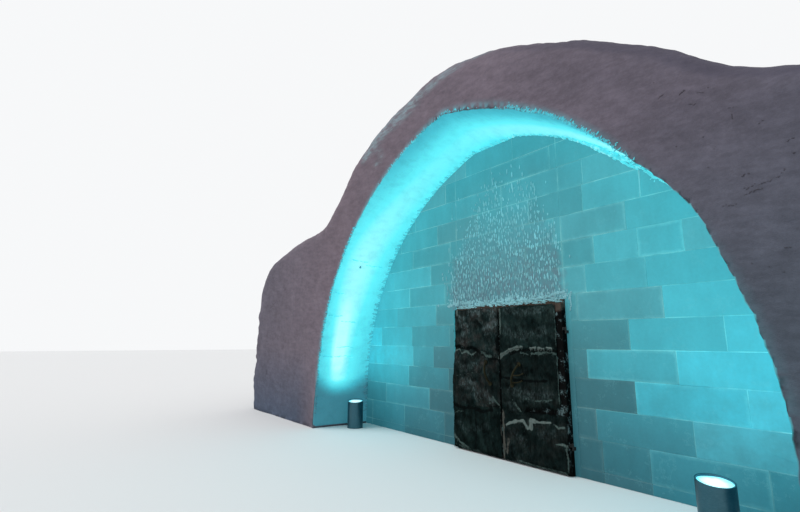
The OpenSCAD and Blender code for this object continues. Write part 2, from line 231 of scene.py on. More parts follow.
# Material helpers
class Wiring:
    # short calls that add and join the nodes of one tree
    def __init__(self, tree, place):
        self.tree = tree
        self.place = place

    def add(self, kind, **settings):
        node = self.tree.nodes.new(kind)
        for key, value in settings.items():
            setattr(node, key, value)
        return node

    def join(self, source, target):
        self.tree.links.new(source, target)

    def feed(self, socket, value):
        if isinstance(value, (int, float)):
            socket.default_value = value
        elif isinstance(value, tuple):
            socket.default_value = (*value, 1) if socket.type == "RGBA" else value
        else:
            self.join(value, socket)

    def stretched(self, scale):
        node = self.add("ShaderNodeMapping")
        node.inputs["Scale"].default_value = scale
        self.join(self.place, node.inputs["Vector"])
        return node.outputs[0]

    def noise(self, scale, detail=4, roughness=0.55, vector=None):
        node = self.add("ShaderNodeTexNoise")
        self.feed(node.inputs["Scale"], scale)
        node.inputs["Detail"].default_value = detail
        node.inputs["Roughness"].default_value = roughness
        self.join(vector or self.place, node.inputs["Vector"])
        return node.outputs["Fac"]

    def relief(self, scale, shift, stretch):
        # a noise less the same noise moved a little, like light from one side
        place = self.stretched(stretch)
        moved = self.add("ShaderNodeVectorMath", operation="ADD")
        self.join(place, moved.inputs[0])
        moved.inputs[1].default_value = shift
        still, shifted = (self.noise(scale, 4, 0.6, vector) for vector in (place, moved.outputs[0]))
        return self.maths("SUBTRACT", still, shifted)

    def cells(self, scale):
        node = self.add("ShaderNodeTexVoronoi")
        node.inputs["Scale"].default_value = scale
        self.join(self.place, node.inputs["Vector"])
        return node.outputs["Distance"]

    def ramp(self, value, low, high, fromValue=0.0, toValue=1.0):
        node = self.add("ShaderNodeMapRange")
        for key, number in zip(("From Min", "From Max", "To Min", "To Max"), (low, high, fromValue, toValue)):
            self.feed(node.inputs[key], number)
        self.join(value, node.inputs["Value"])
        return node.outputs[0]

    def colours(self, value, stops):
        # a colour for each level, as a list of (level, colour)
        node = self.add("ShaderNodeValToRGB")
        points = node.color_ramp.elements
        while len(points) < len(stops):
            points.new(0.5)
        for point, (level, colour) in zip(points, stops):
            point.position = level
            point.color = (*colour, 1)
        self.join(value, node.inputs[0])
        return node.outputs["Color"]

    def maths(self, operation, a, b):
        node = self.add("ShaderNodeMath", operation=operation)
        self.feed(node.inputs[0], a)
        self.feed(node.inputs[1], b)
        return node.outputs[0]

    def times(self, *values):
        made = values[0]
        for value in values[1:]:
            made = self.maths("MULTIPLY", made, value)
        return made

    def ragged(self, value, by, scale, detail=4, roughness=0.55):
        # the value, made uneven by up to this much either way
        uneven = self.ramp(self.noise(scale, detail, roughness), 0.3, 0.7, -by, by)
        return self.maths("ADD", value, uneven)

    def blend(self, share, a, b, mode="MIX"):
        node = self.add("ShaderNodeMix", data_type="RGBA", blend_type=mode)
        for socket, value in zip((node.inputs[0], node.inputs[6], node.inputs[7]), (share, a, b)):
            self.feed(socket, value)
        return node.outputs[2]

    def tinted(self, colour, by):
        return self.blend(1.0, colour, by, "MULTIPLY")

    def mask(self, name):
        return self.add("ShaderNodeAttribute", attribute_name=name).outputs["Fac"]

    def axes(self):
        node = self.add("ShaderNodeSeparateXYZ")
        self.join(self.place, node.inputs[0])
        return node.outputs["X"], node.outputs["Y"], node.outputs["Z"]

    def nearness(self, spot, reach):
        # 1 at the spot, falling to 0 at the reach
        node = self.add("ShaderNodeVectorMath", operation="DISTANCE")
        self.join(self.place, node.inputs[0])
        node.inputs[1].default_value = spot
        return self.ramp(node.outputs["Value"], 0.0, reach, 1.0, 0.0)

    def bump(self, heightValue, strength, distance, below=None):
        node = self.add("ShaderNodeBump")
        node.inputs["Strength"].default_value = strength
        node.inputs["Distance"].default_value = distance
        self.join(heightValue, node.inputs["Height"])
        if below:
            self.join(below, node.inputs["Normal"])
        return node.outputs[0]

    def shared(self, effect, **given):
        # places a shared effect and returns what it puts out
        node = self.add("ShaderNodeGroup", node_tree=effect)
        self.join(self.place, node.inputs["Vector"])
        for key, value in given.items():
            self.feed(node.inputs[key], value)
        return node.outputs


class Finish(Wiring):
    # a material with its Principled shader
    def __init__(self, name, roughness=0.6, **constants):
        self.material = bpy.data.materials.new(name)
        self.material.use_nodes = True
        tree = self.material.node_tree
        super().__init__(tree, tree.nodes.new("ShaderNodeTexCoord").outputs["Object"])
        self.shader = tree.nodes["Principled BSDF"]
        self.shader.inputs["Roughness"].default_value = roughness
        for socket, value in constants.items():
            self.shader.inputs[socket.replace("_", " ")].default_value = value

    def finish(self, colour, normal=None, roughness=None, glow=None):
        self.join(colour, self.shader.inputs["Base Color"])
        if normal:
            self.join(normal, self.shader.inputs["Normal"])
        if roughness:
            self.join(roughness, self.shader.inputs["Roughness"])
        if glow:
            self.join(glow, self.shader.inputs["Emission Color"])
            self.shader.inputs["Emission Strength"].default_value = 1
        return self.material


def sharedEffect(name, inputs, outputs, build):
    # a node group that several materials use; build returns what each output gets
    tree = bpy.data.node_groups.new(name, "ShaderNodeTree")
    for way, sockets in (("INPUT", {"Vector": "Vector", **inputs}), ("OUTPUT", outputs)):
        for label, kind in sockets.items():
            tree.interface.new_socket(name=label, in_out=way, socket_type="NodeSocket" + kind)
    given = tree.nodes.new("NodeGroupInput").outputs
    result = tree.nodes.new("NodeGroupOutput").inputs
    w = Wiring(tree, given["Vector"])
    for label, socket in build(w, given).items():
        w.join(socket, result[label])
    return tree


def buildGrain(w, given):
    # fine ice crystals on snow and frost
    coarse = w.noise(given["Scale"], 3, 0.7)
    fine = w.noise(w.maths("MULTIPLY", given["Scale"], 4.0), 2, 0.6)
    height = w.maths("ADD", w.times(coarse, 0.7), w.times(fine, 0.3))
    return {"Sparkle": w.ramp(height, 0.42, 0.68), "Height": height}


def buildFrost(w, given):
    # patches of frost that close up as the amount grows
    level = w.ragged(w.ragged(given["Amount"], 0.32, 11.0, 4, 0.65), 0.16, 60.0, 3, 0.7)
    held = w.ramp(given["Amount"], 0.02, 0.10)
    return {"Mask": w.times(w.ramp(level, 0.38, 0.62), held)}


def buildLampLight(w, given):
    # what the cyan lamps do to pale snow and frost, from unlit to fully lit
    light = w.colours(given["Level"], [
        (0.0, (0.0, 0.0, 0.0)), (0.12, (0.022, 0.125, 0.165)), (0.45, (0.040, 0.330, 0.400)),
        (0.80, (0.085, 0.640, 0.700)), (1.0, (0.36, 0.80, 0.80))])
    tint = w.colours(given["Level"], [
        (0.0, (0.05, 0.12, 0.15)), (0.12, (0.060, 0.175, 0.215)), (0.45, (0.060, 0.330, 0.390)),
        (0.80, (0.110, 0.480, 0.520)), (1.0, (0.30, 0.55, 0.55))])
    return {"Light": light, "Tint": tint}


def buildWood(w, given):
    # long fibres and a few dark cracks, running up
    fibres = w.noise(9.0, 6, 0.6, w.stretched((9.0, 9.0, 0.6)))
    cracks = w.ramp(w.noise(7.0, 3, 0.5, w.stretched((7.0, 7.0, 0.35))), 0.62, 0.68)
    colour = w.blend(w.ramp(fibres, 0.3, 0.7), given["Dark"], given["Light"])
    colour = w.blend(w.times(cracks, 0.8), colour, given["Dark"])
    return {"Colour": colour, "Height": w.maths("SUBTRACT", fibres, w.times(cracks, 0.5))}


grainEffect = sharedEffect(
    "iceGrain", {"Scale": "Float"}, {"Sparkle": "Float", "Height": "Float"}, buildGrain)
frostEffect = sharedEffect("frostPatches", {"Amount": "Float"}, {"Mask": "Float"}, buildFrost)
lampEffect = sharedEffect(
    "lampLight", {"Level": "Float"}, {"Light": "Color", "Tint": "Color"}, buildLampLight)
woodEffect = sharedEffect(
    "woodFibres", {"Dark": "Color", "Light": "Color"}, {"Colour": "Color", "Height": "Float"}, buildWood)


# The arch's edges, in front and at the ice wall
def inwardness(point, normal):
    # 1 where the snow faces the arch's axis, 0 where it faces away or along it
    return smooth(normal.dot(towardsAxis(point)), 0.25, 0.65)


def mergedCopy(node):
    part = bmesh.new()
    part.from_mesh(frame["nodes"][node].data)
    bmesh.ops.remove_doubles(part, verts=part.verts, dist=1e-4)
    return part


def lipLine():
    # the arch's front edge, from the left foot over the top to the right foot
    spots = set()
    for node in snowNodes:
        if not node.startswith("portal_"):
            continue
        part = mergedCopy(node)
        part.normal_update()
        for edge in part.edges:
            if len(edge.link_faces) != 2 or any(abs(v.co.y - snowFront) > 0.01 for v in edge.verts):
                continue
            turned = [inwardness(edge.verts[0].co, face.normal) for face in edge.link_faces]
            if max(turned) > 0.9 and min(turned) < 0.1:
                spots.update((round(v.co.x, 3), round(v.co.z, 3)) for v in edge.verts)
        part.free()
    ordered = sorted(spots, key=lambda spot: math.atan2(spot[0] - archMiddle, spot[1] - axisHeight))
    return [Vector((x, snowFront, z)) for x, z in ordered]


def archEdge(side):
    # the curved edge of the ice wall on one side, as heights and places from the foot up
    spots = []
    for node in ("ice_wall_left", "ice_wall_right", "ice_wall_over_door"):
        for vert in frame["nodes"][node].data.vertices:
            overDoor = doorLeft - 0.001 < vert.co.x < doorRight + 0.001 and vert.co.z < doorEdgeTop
            if (vert.co.x - archMiddle) * side > 0 and not overDoor:
                spots.append((round(vert.co.z, 4), round(vert.co.x, 4)))
    return sorted(set(spots))


def archReach(side, z):
    edge = archEdges[side]
    for (lowZ, lowX), (highZ, highX) in zip(edge, edge[1:]):
        if lowZ <= z <= highZ and highZ > lowZ:
            return lowX + (highX - lowX) * (z - lowZ) / (highZ - lowZ)
    return edge[0][1] if z < edge[0][0] else edge[-1][1]


def alongLine(line, share):
    # the point at a share of a line's length, the way on, and the way towards the arch's axis there
    lengths = [(b - a).length for a, b in zip(line, line[1:])]
    left = share * sum(lengths)
    for (a, b), length in zip(zip(line, line[1:]), lengths):
        if left <= length and length > 0:
            along = (b - a).normalized()
            return a + along * left, along, Vector((along.z, 0, -along.x))
        left -= length
    along = (line[-1] - line[-2]).normalized()
    return line[-1].copy(), along, Vector((along.z, 0, -along.x))


snowNodes = [node for node in frame["nodes"] if node.startswith(("portal_", "vault_"))] + ["end_wall"]
archEdges = {side: archEdge(side) for side in (-1, 1)}
lip = lipLine()
backLine = [Vector((x, iceFront, z)) for z, x in archEdges[-1] + archEdges[1][::-1]]
lipSteps = len(lip) * 12
lipTree = KDTree(lipSteps)
for step in range(lipSteps):
    lipTree.insert(alongLine(lip, step / (lipSteps - 1))[0], step)
lipTree.balance()


# Snow
# The snow's mauve greys are painted dusk shade on white snow. They turn darker and bluer on the right flank
# and low on both flanks.
snowFinish = {
    "along": [(0.05, (0.126, 0.114, 0.145)), (0.30, (0.162, 0.129, 0.157)), (0.57, (0.156, 0.128, 0.160)),
              (0.80, (0.098, 0.092, 0.122))],      # the left flank, over the arch, and the right flank
    "foot": (0.072, 0.092, 0.138),       # low on the left flank
    "rightFoot": (0.070, 0.088, 0.116),
    # dirt, and the painted shade in the dents of scratches
    "dirtAndDentShade": (0.034, 0.028, 0.028),
    "crust": (0.25, 0.36, 0.40),         # frost on the outer edge, partly a painted sky highlight on its eased top
    "rimShade": (0.062, 0.059, 0.088),
    "halo": (0.10, 0.20, 0.24),          # lamp light that strays onto the front
    "stray": (0.03, 0.22, 0.26),
}


def makeSnowMaterial(look):
    s = Finish("packedSnow", roughness=0.88, Subsurface_Weight=0.08,
               Subsurface_Radius=(0.04, 0.05, 0.07), Specular_IOR_Level=0.2)
    x, _, high = s.axes()
    grain = s.shared(grainEffect, Scale=34.0)
    colour = s.colours(s.ramp(x, -7.0, 7.0), look["along"])
    colour = s.blend(s.times(s.ramp(high, 1.5, 0.1), s.ramp(x, -3.6, -4.4)), colour, look["foot"])
    colour = s.blend(s.times(s.ramp(high, 3.9, 1.6), s.ramp(x, 1.5, 3.0)), colour, look["rightFoot"])
    broad = s.ramp(s.noise(0.9, 4, 0.6), 0.3, 0.7, 0.91, 1.08)
    patches = s.ramp(s.noise(4.5, 5, 0.65), 0.32, 0.68, 0.90, 1.10)
    # painted shade and light of small ridges in the snow, as if lit from one side
    reliefShading = s.ramp(s.relief(7.0, (0.02, 0.02, 0.03), (0.6, 1.0, 1.3)), -0.12, 0.12, 0.90, 1.10)
    fine = s.ramp(grain["Sparkle"], 0, 1, 0.95, 1.08)
    colour = s.tinted(colour, s.times(broad, patches, fine, reliefShading))
    stains = s.ramp(s.noise(3.4, 5, 0.7, s.stretched((0.8, 0.8, 2.4))), 0.64, 0.70)
    spots = s.times(stains, s.ramp(s.noise(0.8, 2), 0.50, 0.62), s.ramp(x, 1.6, 3.0), 0.30)
    # stains and scratches: dirt, partly the painted shade of the scratches' dents
    colour = s.blend(s.maths("MAXIMUM", spots, s.mask("dirtAndDentShade")), colour, look["dirtAndDentShade"])
    streaks = s.ramp(s.noise(13.0, 5, 0.7, s.stretched((0.35, 1.0, 1.2))), 0.42, 0.60, 0.12, 1.0)
    colour = s.blend(s.times(s.mask("rim"), s.ramp(x, 0.4, 2.2), 0.6), colour, look["rimShade"])
    # frost on the top edge, partly a painted highlight where the eased edge faces the sky
    colour = s.blend(s.times(s.mask("crust"), streaks), colour, look["crust"])
    colour = s.blend(s.mask("halo"), colour, look["halo"])
    inside = s.ramp(s.mask("inside"), 0.42, 0.60)
    lamps = s.shared(lampEffect, Level=s.mask("level"))
    # painted shade and light of strokes and pits on the lamp-lit reveal, as if lit from one side
    strokes = s.relief(5.0, (0.030, 0.045, -0.030), (1.0, 0.45, 1.0))
    pitShading = s.relief(22.0, (0.008, 0.010, -0.008), (1.0, 1.0, 1.0))
    lampReliefShading = s.maths("ADD", s.ramp(strokes, -0.16, 0.16, 0.84, 1.10), s.ramp(pitShading, -0.2, 0.2, -0.07, 0.07))
    colour = s.blend(inside, colour, lamps["Tint"])
    light = s.blend(s.times(s.mask("halo"), patches), (0, 0, 0), look["stray"])
    light = s.blend(s.times(inside, lampReliefShading), light, lamps["Light"])
    normal = s.bump(s.noise(5.5, 4, 0.6), 0.35, 0.05)
    normal = s.bump(grain["Height"], 0.5, 0.012, normal)
    return s.finish(colour, normal, glow=light)


snowShape = {
    "voxel": 0.05,
    "relax": 7,                  # rounds of smoothing after the pieces are fused
    "crisp": (0.04, 0.24),       # metres from the lip between which the smoothing grows from none
    "snap": (0.035, 0.090),      # metres from the lip between which the mesh is drawn onto it
    "swell": (0.045, 0.42),      # height in metres and frequency of the broad rolls
    "dents": (0.022, 2.2),
    "grains": (0.009, 9.0),
    "revealShare": 0.25,         # what the reveal gets of these three
    "chips": (0.034, 4.6),       # on the left flank's silhouette
    "chipsFrom": (6.3, 6.7),     # metres to the left of the middle
    "chipsFoot": (0.3, 0.8),
    "chipsTop": (2.0, 2.7),
    "lipBumps": (0.050, 4.6),    # on the left of the arch
    "bumpsFoot": (0.3, 0.7),
    "bumpsTop": (2.5, 3.2),
    "bumpsOnRight": 0.12,
    "lipNotches": (0.016, 12.0),
    "rearFrom": 0.4,             # metres behind the ice wall from which the mesh is thinned
    "rearShare": 0.28,
    "haloReach": 0.05,
    "haloShare": {-1: 0.55, 1: 0.60},
    "haloFades": (4.2, 3.3),     # heights between which it fades on the right
    "rimReach": 0.55,            # metres behind the front that the eased outer edge takes up
    "crust": [                   # half width, strength and points across and up of the frost and painted sky highlight on the top edge
        (0.15, 0.80, [(-1.95, 5.02), (-1.55, 5.21), (-1.05, 5.35), (-0.55, 5.48)]),
        (0.09, 0.60, [(-0.55, 5.48), (0.15, 5.60), (0.95, 5.68), (1.5, 5.66)]),
        (0.06, 0.45, [(-1.72, 5.10), (-1.50, 4.92), (-1.42, 4.80), (-1.62, 4.72)])],
    "bulges": [                  # spot, reach and push
        ((1.2, -3.9, 5.6), 1.1, (0, 0, -0.055)),
        ((2.0, -3.9, 5.35), 0.45, (0, 0, -0.04)),
        ((3.2, -3.7, 4.35), 0.46, (0.03, 0, 0.10)),
        ((-6.95, -3.7, 0.4), 1.1, (-0.10, 0, 0)),
        ((-6.95, -3.7, 2.3), 0.7, (0.04, 0, 0)),
        ((-3.45, -4.0, 0.1), 0.7, (-0.12, 0, 0)),
        ((3.1, -4.0, 2.8), 0.5, (0.06, 0, 0.03)),
        ((3.8, -4.0, 0.7), 0.6, (-0.035, 0, 0)),
    ],
}
glowShape = {
    "conePlace": {-1: -3.50, 1: -3.70},    # the middle of each lamp's cone on the reveal, along Y
    "bandPlace": {-1: -3.58, 1: -3.45},    # and of the bright band above it
    "bandWidth": {-1: (0.17, 0.11), 1: (0.17, 0.085)},    # at the foot, and what a metre of height adds
    "bandInwards": 1.5,                    # how much wider it is on the side of the ice
    "bandFades": (2.8, 4.9, 0.25),         # heights between which it fades, and how much
    "drift": {-1: (3.2, 4.8, 0.34), 1: (3.0, 4.4, 0.30)},    # where it moves inwards, and how far
    "coreWidth": (0.080, 0.024),           # of the brightest part of the band, like bandWidth
    "coreGrows": (0.98, 1.28),
    "coreFades": (1.4, 2.7),
    "frontShade": {-1: (3.9, 4.9), 1: (2.6, 3.5)},    # heights between which the front darkens
    "shadeDepth": 0.55,
    "shadeShare": 0.42,
    "shares": (0.40, 0.40, 0.28),          # of the whole cone, the band and its core
    "changeOver": 0.6,                     # metres from the middle where one lamp takes over
    "gain": {-1: 1.0, 1: 1.06},
    "wallGap": 0.29,                       # metres from the lamp to the reveal beside it
    "flare": 1.26,                         # how fast the lit cone spreads
    "towardsIce": 0.78,                    # how much slower its edge rises towards the ice
    "cutSoftness": 0.20,
    "footLevel": 0.12,
}


def lampLevel(point, shape=glowShape):
    # how brightly the lamps light the snow inside the arch, from 0 to 1
    rightShare = smooth(point.x, archMiddle - shape["changeOver"], archMiddle + shape["changeOver"])
    flat, withBand, withCore = shape["shares"]
    level = 0.0
    for side, share in ((-1, 1 - rightShare), (1, rightShare)):
        if share == 0:
            continue
        cone, place = shape["conePlace"][side], shape["bandPlace"][side]
        aside = abs(point.y - cone) * (shape["towardsIce"] if point.y > cone else 1)
        spread = (shape["wallGap"] ** 3 + aside ** 3) ** (1 / 3) / shape["flare"]
        above = smooth(point.z - lampTop, spread - shape["cutSoftness"], spread + shape["cutSoftness"])
        fromZ, toZ, reach = shape["drift"][side]
        off = point.y - place - reach * smooth(point.z, fromZ, toZ)
        wide, grows = shape["bandWidth"][side]
        fadeFrom, fadeTo, fade = shape["bandFades"]
        band = bellCurve(off, (wide + grows * point.z) * (shape["bandInwards"] if off > 0 else 1))
        band *= 1 - fade * smooth(point.z, fadeFrom, fadeTo)
        wide, grows = shape["coreWidth"]
        core = bellCurve(point.y - place, wide + grows * point.z)
        core *= smooth(point.z, *shape["coreGrows"]) * (1 - smooth(point.z, *shape["coreFades"]))
        shade = smooth(point.z, *shape["frontShade"][side])
        shade *= 1 - smooth(point.y, snowFront, snowFront + shape["shadeDepth"])
        lit = flat + withBand * band + withCore * core
        level += share * above * (1 - shape["shadeShare"] * shade) * lit * shape["gain"][side]
    return min(1.0, shape["footLevel"] + level)


def lipRoughness(spot, shape):
    # how far the lip's edge stands towards the arch's axis
    height, frequency = shape["lipNotches"]
    rough = height * noise.noise(spot * frequency) + 0.5 * height * noise.noise(spot * frequency * 2.7)
    height, frequency = shape["lipBumps"]
    ragged = smooth(spot.z, *shape["bumpsFoot"]) * (1 - smooth(spot.z, *shape["bumpsTop"]))
    ragged *= 1 if spot.x < archMiddle else shape["bumpsOnRight"]
    return rough + ragged * height * max(-0.15, noise.noise(spot * frequency + Vector((9, 0, 0))))


def strokeDistance(spot, points):
    # from a place on the front to the nearest stretch of a stroke
    nearest = 1e9
    for start, end in zip(points, points[1:]):
        start, way = Vector(start), Vector(end) - Vector(start)
        share = min(1.0, max(0.0, (spot - start).dot(way) / max(1e-6, way.length_squared)))
        nearest = min(nearest, (spot - start - way * share).length)
    return nearest


def markSnow(mesh, onLip, shape):
    # the attributes that the snow material reads
    values = {key: [0.0] * len(mesh.vertices) for key in ("inside", "level", "halo", "rim", "crust")}
    for index, vert in enumerate(mesh.vertices):
        co, normal = vert.co, vert.normal
        inward = inwardness(co, normal) * smooth(-co.y, -iceBack - 0.06, -iceBack + 0.06)
        if co.y < snowFront + 0.2:
            spot, _, away = lipTree.find(co)
            inward = 0.5 if onLip.find(co)[2] < 0.002 else inward * smooth(normal.y, -0.80, -0.55)
            if away < 0.01 or (spot - Vector((archMiddle, spot.y, axisHeight))).dot(co - spot) > 0:
                side = -1 if co.x < archMiddle else 1
                fade = 0.8 * smooth(-co.z, *(-height for height in shape["haloFades"])) if side > 0 else 0.0
                share = shape["haloShare"][side] * (1 - fade)
                values["halo"][index] = share * bellCurve(away, shape["haloReach"])
        values["inside"][index] = inward
        if co.y < iceBack + 0.1:
            values["level"][index] = lampLevel(co)
        if co.y < snowFront + shape["rimReach"] and inward < 0.1 and co.z > 0.5:
            values["rim"][index] = smooth(normal.y, -0.97, -0.80) * (1 - smooth(normal.y, -0.30, -0.05))
            # frost and painted sky highlight along the top edge
            if co.x < 1.8 and co.z > 4.5:
                flat = Vector((co.x, co.z))
                values["crust"][index] = max(
                    strength * (1 - smooth(strokeDistance(flat, points), 0.3 * width, 1.5 * width))
                    for width, strength, points in shape["crust"])
    for key, numbers in values.items():
        mesh.attributes.new(key, "FLOAT", "POINT").data.foreach_set("value", numbers)


def makeSnow(shape, material):
    bm = bmesh.new()
    for node in snowNodes:
        part = mergedCopy(node)
        copied = bpy.data.meshes.new("part")
        part.to_mesh(copied)
        part.free()
        bm.from_mesh(copied)
        bpy.data.meshes.remove(copied)
    snow = newPiece("snowMass", bm, building, [material])
    remesh = snow.modifiers.new("fuse", "REMESH")
    remesh.mode = "VOXEL"
    remesh.voxel_size = shape["voxel"]
    bakeModifiers(snow)
    relaxed = snow.vertex_groups.new(name="relaxed")
    relaxed.add(list(range(len(snow.data.vertices))), 1.0, "REPLACE")
    for vert in snow.data.vertices:
        away = lipTree.find(vert.co)[2]
        if away < shape["crisp"][1]:
            relaxed.add([vert.index], smooth(away, *shape["crisp"]), "REPLACE")
    relax = snow.modifiers.new("relax", "SMOOTH")
    relax.factor = 0.5
    relax.iterations = shape["relax"]
    relax.vertex_group = relaxed.name
    bakeModifiers(snow)

    mesh = snow.data
    normals = [vert.normal.copy() for vert in mesh.vertices]
    rear = snow.vertex_groups.new(name="rear")
    snapped = []
    for vert, normal in zip(mesh.vertices, normals):
        co = vert.co.copy()
        shift = 0.0
        for (rise, frequency), offset in zip((shape["swell"], shape["dents"], shape["grains"]), (0, 31, 67)):
            shift += rise * noise.noise(co * frequency + Vector((offset, 0, 0)))
        rise, frequency = shape["chips"]
        flank = smooth(-co.x, *shape["chipsFrom"]) * smooth(co.z, *shape["chipsFoot"])
        flank *= 1 - smooth(co.z, *shape["chipsTop"])
        shift += flank * rise * (noise.noise(co * frequency) + 0.6 * noise.noise(co * frequency * 2.3))
        moved = co + normal * shift * (1 - (1 - shape["revealShare"]) * inwardness(co, normal))
        pull = 0.0
        if co.y < snowFront + shape["snap"][1]:
            spot, _, away = lipTree.find(co)
            pull = 1 - smooth(away, *shape["snap"])
            moved = moved.lerp(spot + towardsAxis(spot) * lipRoughness(spot, shape), pull)
        for spot, reach, push in shape["bulges"]:
            moved += Vector(push) * bellCurve((co - Vector(spot)).length, reach)
        moved.z = max(0.0, moved.z) if co.z > 0.06 else 0.0
        vert.co = moved
        if pull > 0.8:
            snapped.append(moved.copy())
        if co.y > iceBack + shape["rearFrom"]:
            rear.add([vert.index], 1.0, "REPLACE")
    thin = snow.modifiers.new("thin", "DECIMATE")
    thin.ratio = shape["rearShare"]
    thin.vertex_group = "rear"
    bakeModifiers(snow)
    onLip = KDTree(len(snapped))
    for index, spot in enumerate(snapped):
        onLip.insert(spot, index)
    onLip.balance()
    markSnow(snow.data, onLip, shape)
    for face in snow.data.polygons:
        face.use_smooth = True
    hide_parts(*snowNodes)
    print("snow mass:", len(snow.data.polygons), "faces")
    return snow


crumbs = {
    "seed": 11,
    "leftCount": 340,
    "fringeCount": 1100,
    "leftStretch": (0.02, 0.30),            # shares of the lip's length, from the left foot
    "fringeStretch": (0.36, 0.76, 0.60),    # and where the fringe is densest
    "size": (0.006, 0.026),
    "fringeSize": (0.005, 0.012),
    "teethPitch": 0.060,
    "toothSize": (0.024, 0.060, 0.018),     # along the arch, into it, and out from the snow
    "packed": (2.15, 0.50),                 # where the joint with the ice is filled up, and its reach
    "ledges": [                  # height, then from where to where along Y
        (3.16, -3.74, -3.42), (3.10, -3.42, -3.05), (2.12, -3.92, -3.66), (2.02, -3.62, -3.30),
        (1.52, -3.62, -3.30), (1.34, -3.92, -3.22), (2.55, -3.92, -3.74),
    ],
    "ledgeSize": (0.040, 0.008),
    "gapShadow": (3.06, -3.56, 0.030),          # height, place along Y and size of a dark lump, the painted shade of the gap under a broken layer
}


def markLumps(verts, layers, share=1.0, halo=0.0, inside=None, contrast=0.55):
    # lumps wear the snow's own material, lit on the side that faces their lamp
    centre = sum((vert.co for vert in verts), Vector()) / len(verts)
    lamp = lampSpots[-1 if centre.x < archMiddle else 1]
    for vert in verts:
        outward = (vert.co - centre).normalized()
        lit = smooth(outward.dot((lamp - centre).normalized()), -0.35, 0.6)
        vert[layers["inside"]] = inside or smooth(outward.dot(towardsAxis(vert.co)), -0.6, 0.3)
        vert[layers["level"]] = lampLevel(vert.co) * share * (1 - contrast + contrast * lit)
        vert[layers["halo"]] = halo


def snowBmesh():
    bm = bmesh.new()
    return bm, {key: bm.verts.layers.float.new(key) for key in ("inside", "level", "halo", "rim", "dirtAndDentShade")}


def makeLipCrumbs(setup, material):
    # crumbs that cling to the left of the lip, and a fringe of frost along its top and right
    rng = random.Random(setup["seed"])
    bm, layers = snowBmesh()
    small, large = setup["size"]
    for index in range(setup["leftCount"] + setup["fringeCount"]):
        leftSide = index < setup["leftCount"]
        share = rng.uniform(*setup["leftStretch"]) if leftSide else rng.triangular(*setup["fringeStretch"])
        spot, along, inward = alongLine(lip, share)
        spot = spot + along * rng.uniform(-0.02, 0.02) + inward * lipRoughness(spot, snowShape)
        if leftSide:
            size = small + (large - small) * rng.random() ** 3
            spot += inward * rng.uniform(-0.03, 0.008) + Vector((0, rng.uniform(-0.008, 0.010), 0))
            verts = addLump(bm, spot, (size, size * 0.8, size * rng.uniform(0.6, 1.3)), rng)
            markLumps(verts, layers, 0.85, 0.5)
        else:
            size = rng.uniform(*setup["fringeSize"])
            spot += inward * (0.006 - abs(rng.gauss(0, 0.018))) + Vector((0, rng.uniform(-0.002, 0.010), 0))
            turn = lumpTurn(along, inward, Matrix.Rotation(rng.uniform(-0.6, 0.6), 4, "Y"))
            verts = addLump(bm, spot, (size * 0.7, size * 0.7, size * rng.uniform(1.2, 2.4)), rng, turn, 0.3)
            markLumps(verts, layers, rng.uniform(0.9, 1.5), inside=0.58, contrast=0.1)
    piece = newPiece("lipCrumbs", bm, building, [material])
    print("lip crumbs:", len(piece.data.polygons), "faces")


def makeTeeth(setup, material):
    # the row of small ribs where the reveal meets the ice
    rng = random.Random(setup["seed"] + 1)
    bm, layers = snowBmesh()
    total = sum((b - a).length for a, b in zip(backLine, backLine[1:]))
    count = int(total / setup["teethPitch"])
    alongSize, depthSize, riseSize = setup["toothSize"]
    for index in range(count):
        spot, along, inward = alongLine(backLine, (index + rng.uniform(0.2, 0.8)) / count)
        if spot.z < 0.25:
            continue
        packed = bellCurve(spot.x - setup["packed"][0], setup["packed"][1])
        for _ in range(1 + int(11 * packed)):
            grown = rng.uniform(0.55, 1.35) * (1 - 0.5 * packed)
            turn = lumpTurn(along, inward, Matrix.Rotation(rng.uniform(-0.5, 0.3), 4, "Z"))
            deep = depthSize * rng.uniform(0.5, 1.2)
            rise = riseSize * (1 + 0.3 * packed)
            place = Vector((spot.x, iceFront - deep * 0.7, spot.z)) + along * rng.uniform(-0.03, 0.03)
            place += inward * (rise * rng.uniform(0.0, 0.3) + 0.085 * packed * rng.random())
            verts = addLump(bm, place, (alongSize * grown, deep, rise * grown), rng, turn, 0.28)
            markLumps(verts, layers, rng.uniform(0.85, 1.08), inside=0.57, contrast=0.22 - 0.12 * packed)
    piece = newPiece("revealTeeth", bm, building, [material])
    print("teeth:", len(piece.data.polygons), "faces")


def makeLedges(setup, material):
    # broken layers of snow that stand out of the left reveal, each with its shadow above
    rng = random.Random(setup["seed"] + 2)
    bm, layers = snowBmesh()
    long, thick = setup["ledgeSize"]
    for high, fromY, toY in setup["ledges"]:
        place = archReach(-1, high)
        y = fromY
        while y < toY:
            lift = 0.03 * noise.noise(Vector((y * 5, high, 0)))
            spot = Vector((place, y, high + lift)) + towardsAxis(Vector((place, y, high))) * 0.006
            turn = Matrix.Rotation(rng.uniform(-0.25, 0.25), 4, "X")
            size = (long * rng.uniform(0.3, 0.6), long * rng.uniform(0.7, 1.5), thick * rng.uniform(0.7, 1.5))
            layer = addLump(bm, spot, size, rng, turn, 0.3)
            markLumps(layer, layers, rng.uniform(0.98, 1.12), inside=1, contrast=0.1)
            spot += Vector((0, rng.uniform(-0.01, 0.01), thick * 1.3))
            shadow = addLump(bm, spot, (size[0] * 0.7, size[1] * 0.9, thick * 0.8), rng, turn, 0.3)
            markLumps(shadow, layers, rng.uniform(0.72, 0.92), inside=1, contrast=0.1)
            y += long * rng.uniform(1.0, 2.4)
    # a darker lump: painted shade in the gap under a broken layer
    high, y, size = setup["gapShadow"]
    place, size = (archReach(-1, high), y, high), (size * 0.4, size * 0.8, size)
    markLumps(addLump(bm, place, size, rng, Matrix.Identity(4), 0.3), layers, 0.35, inside=1)
    newPiece("revealLedges", bm, building, [material])


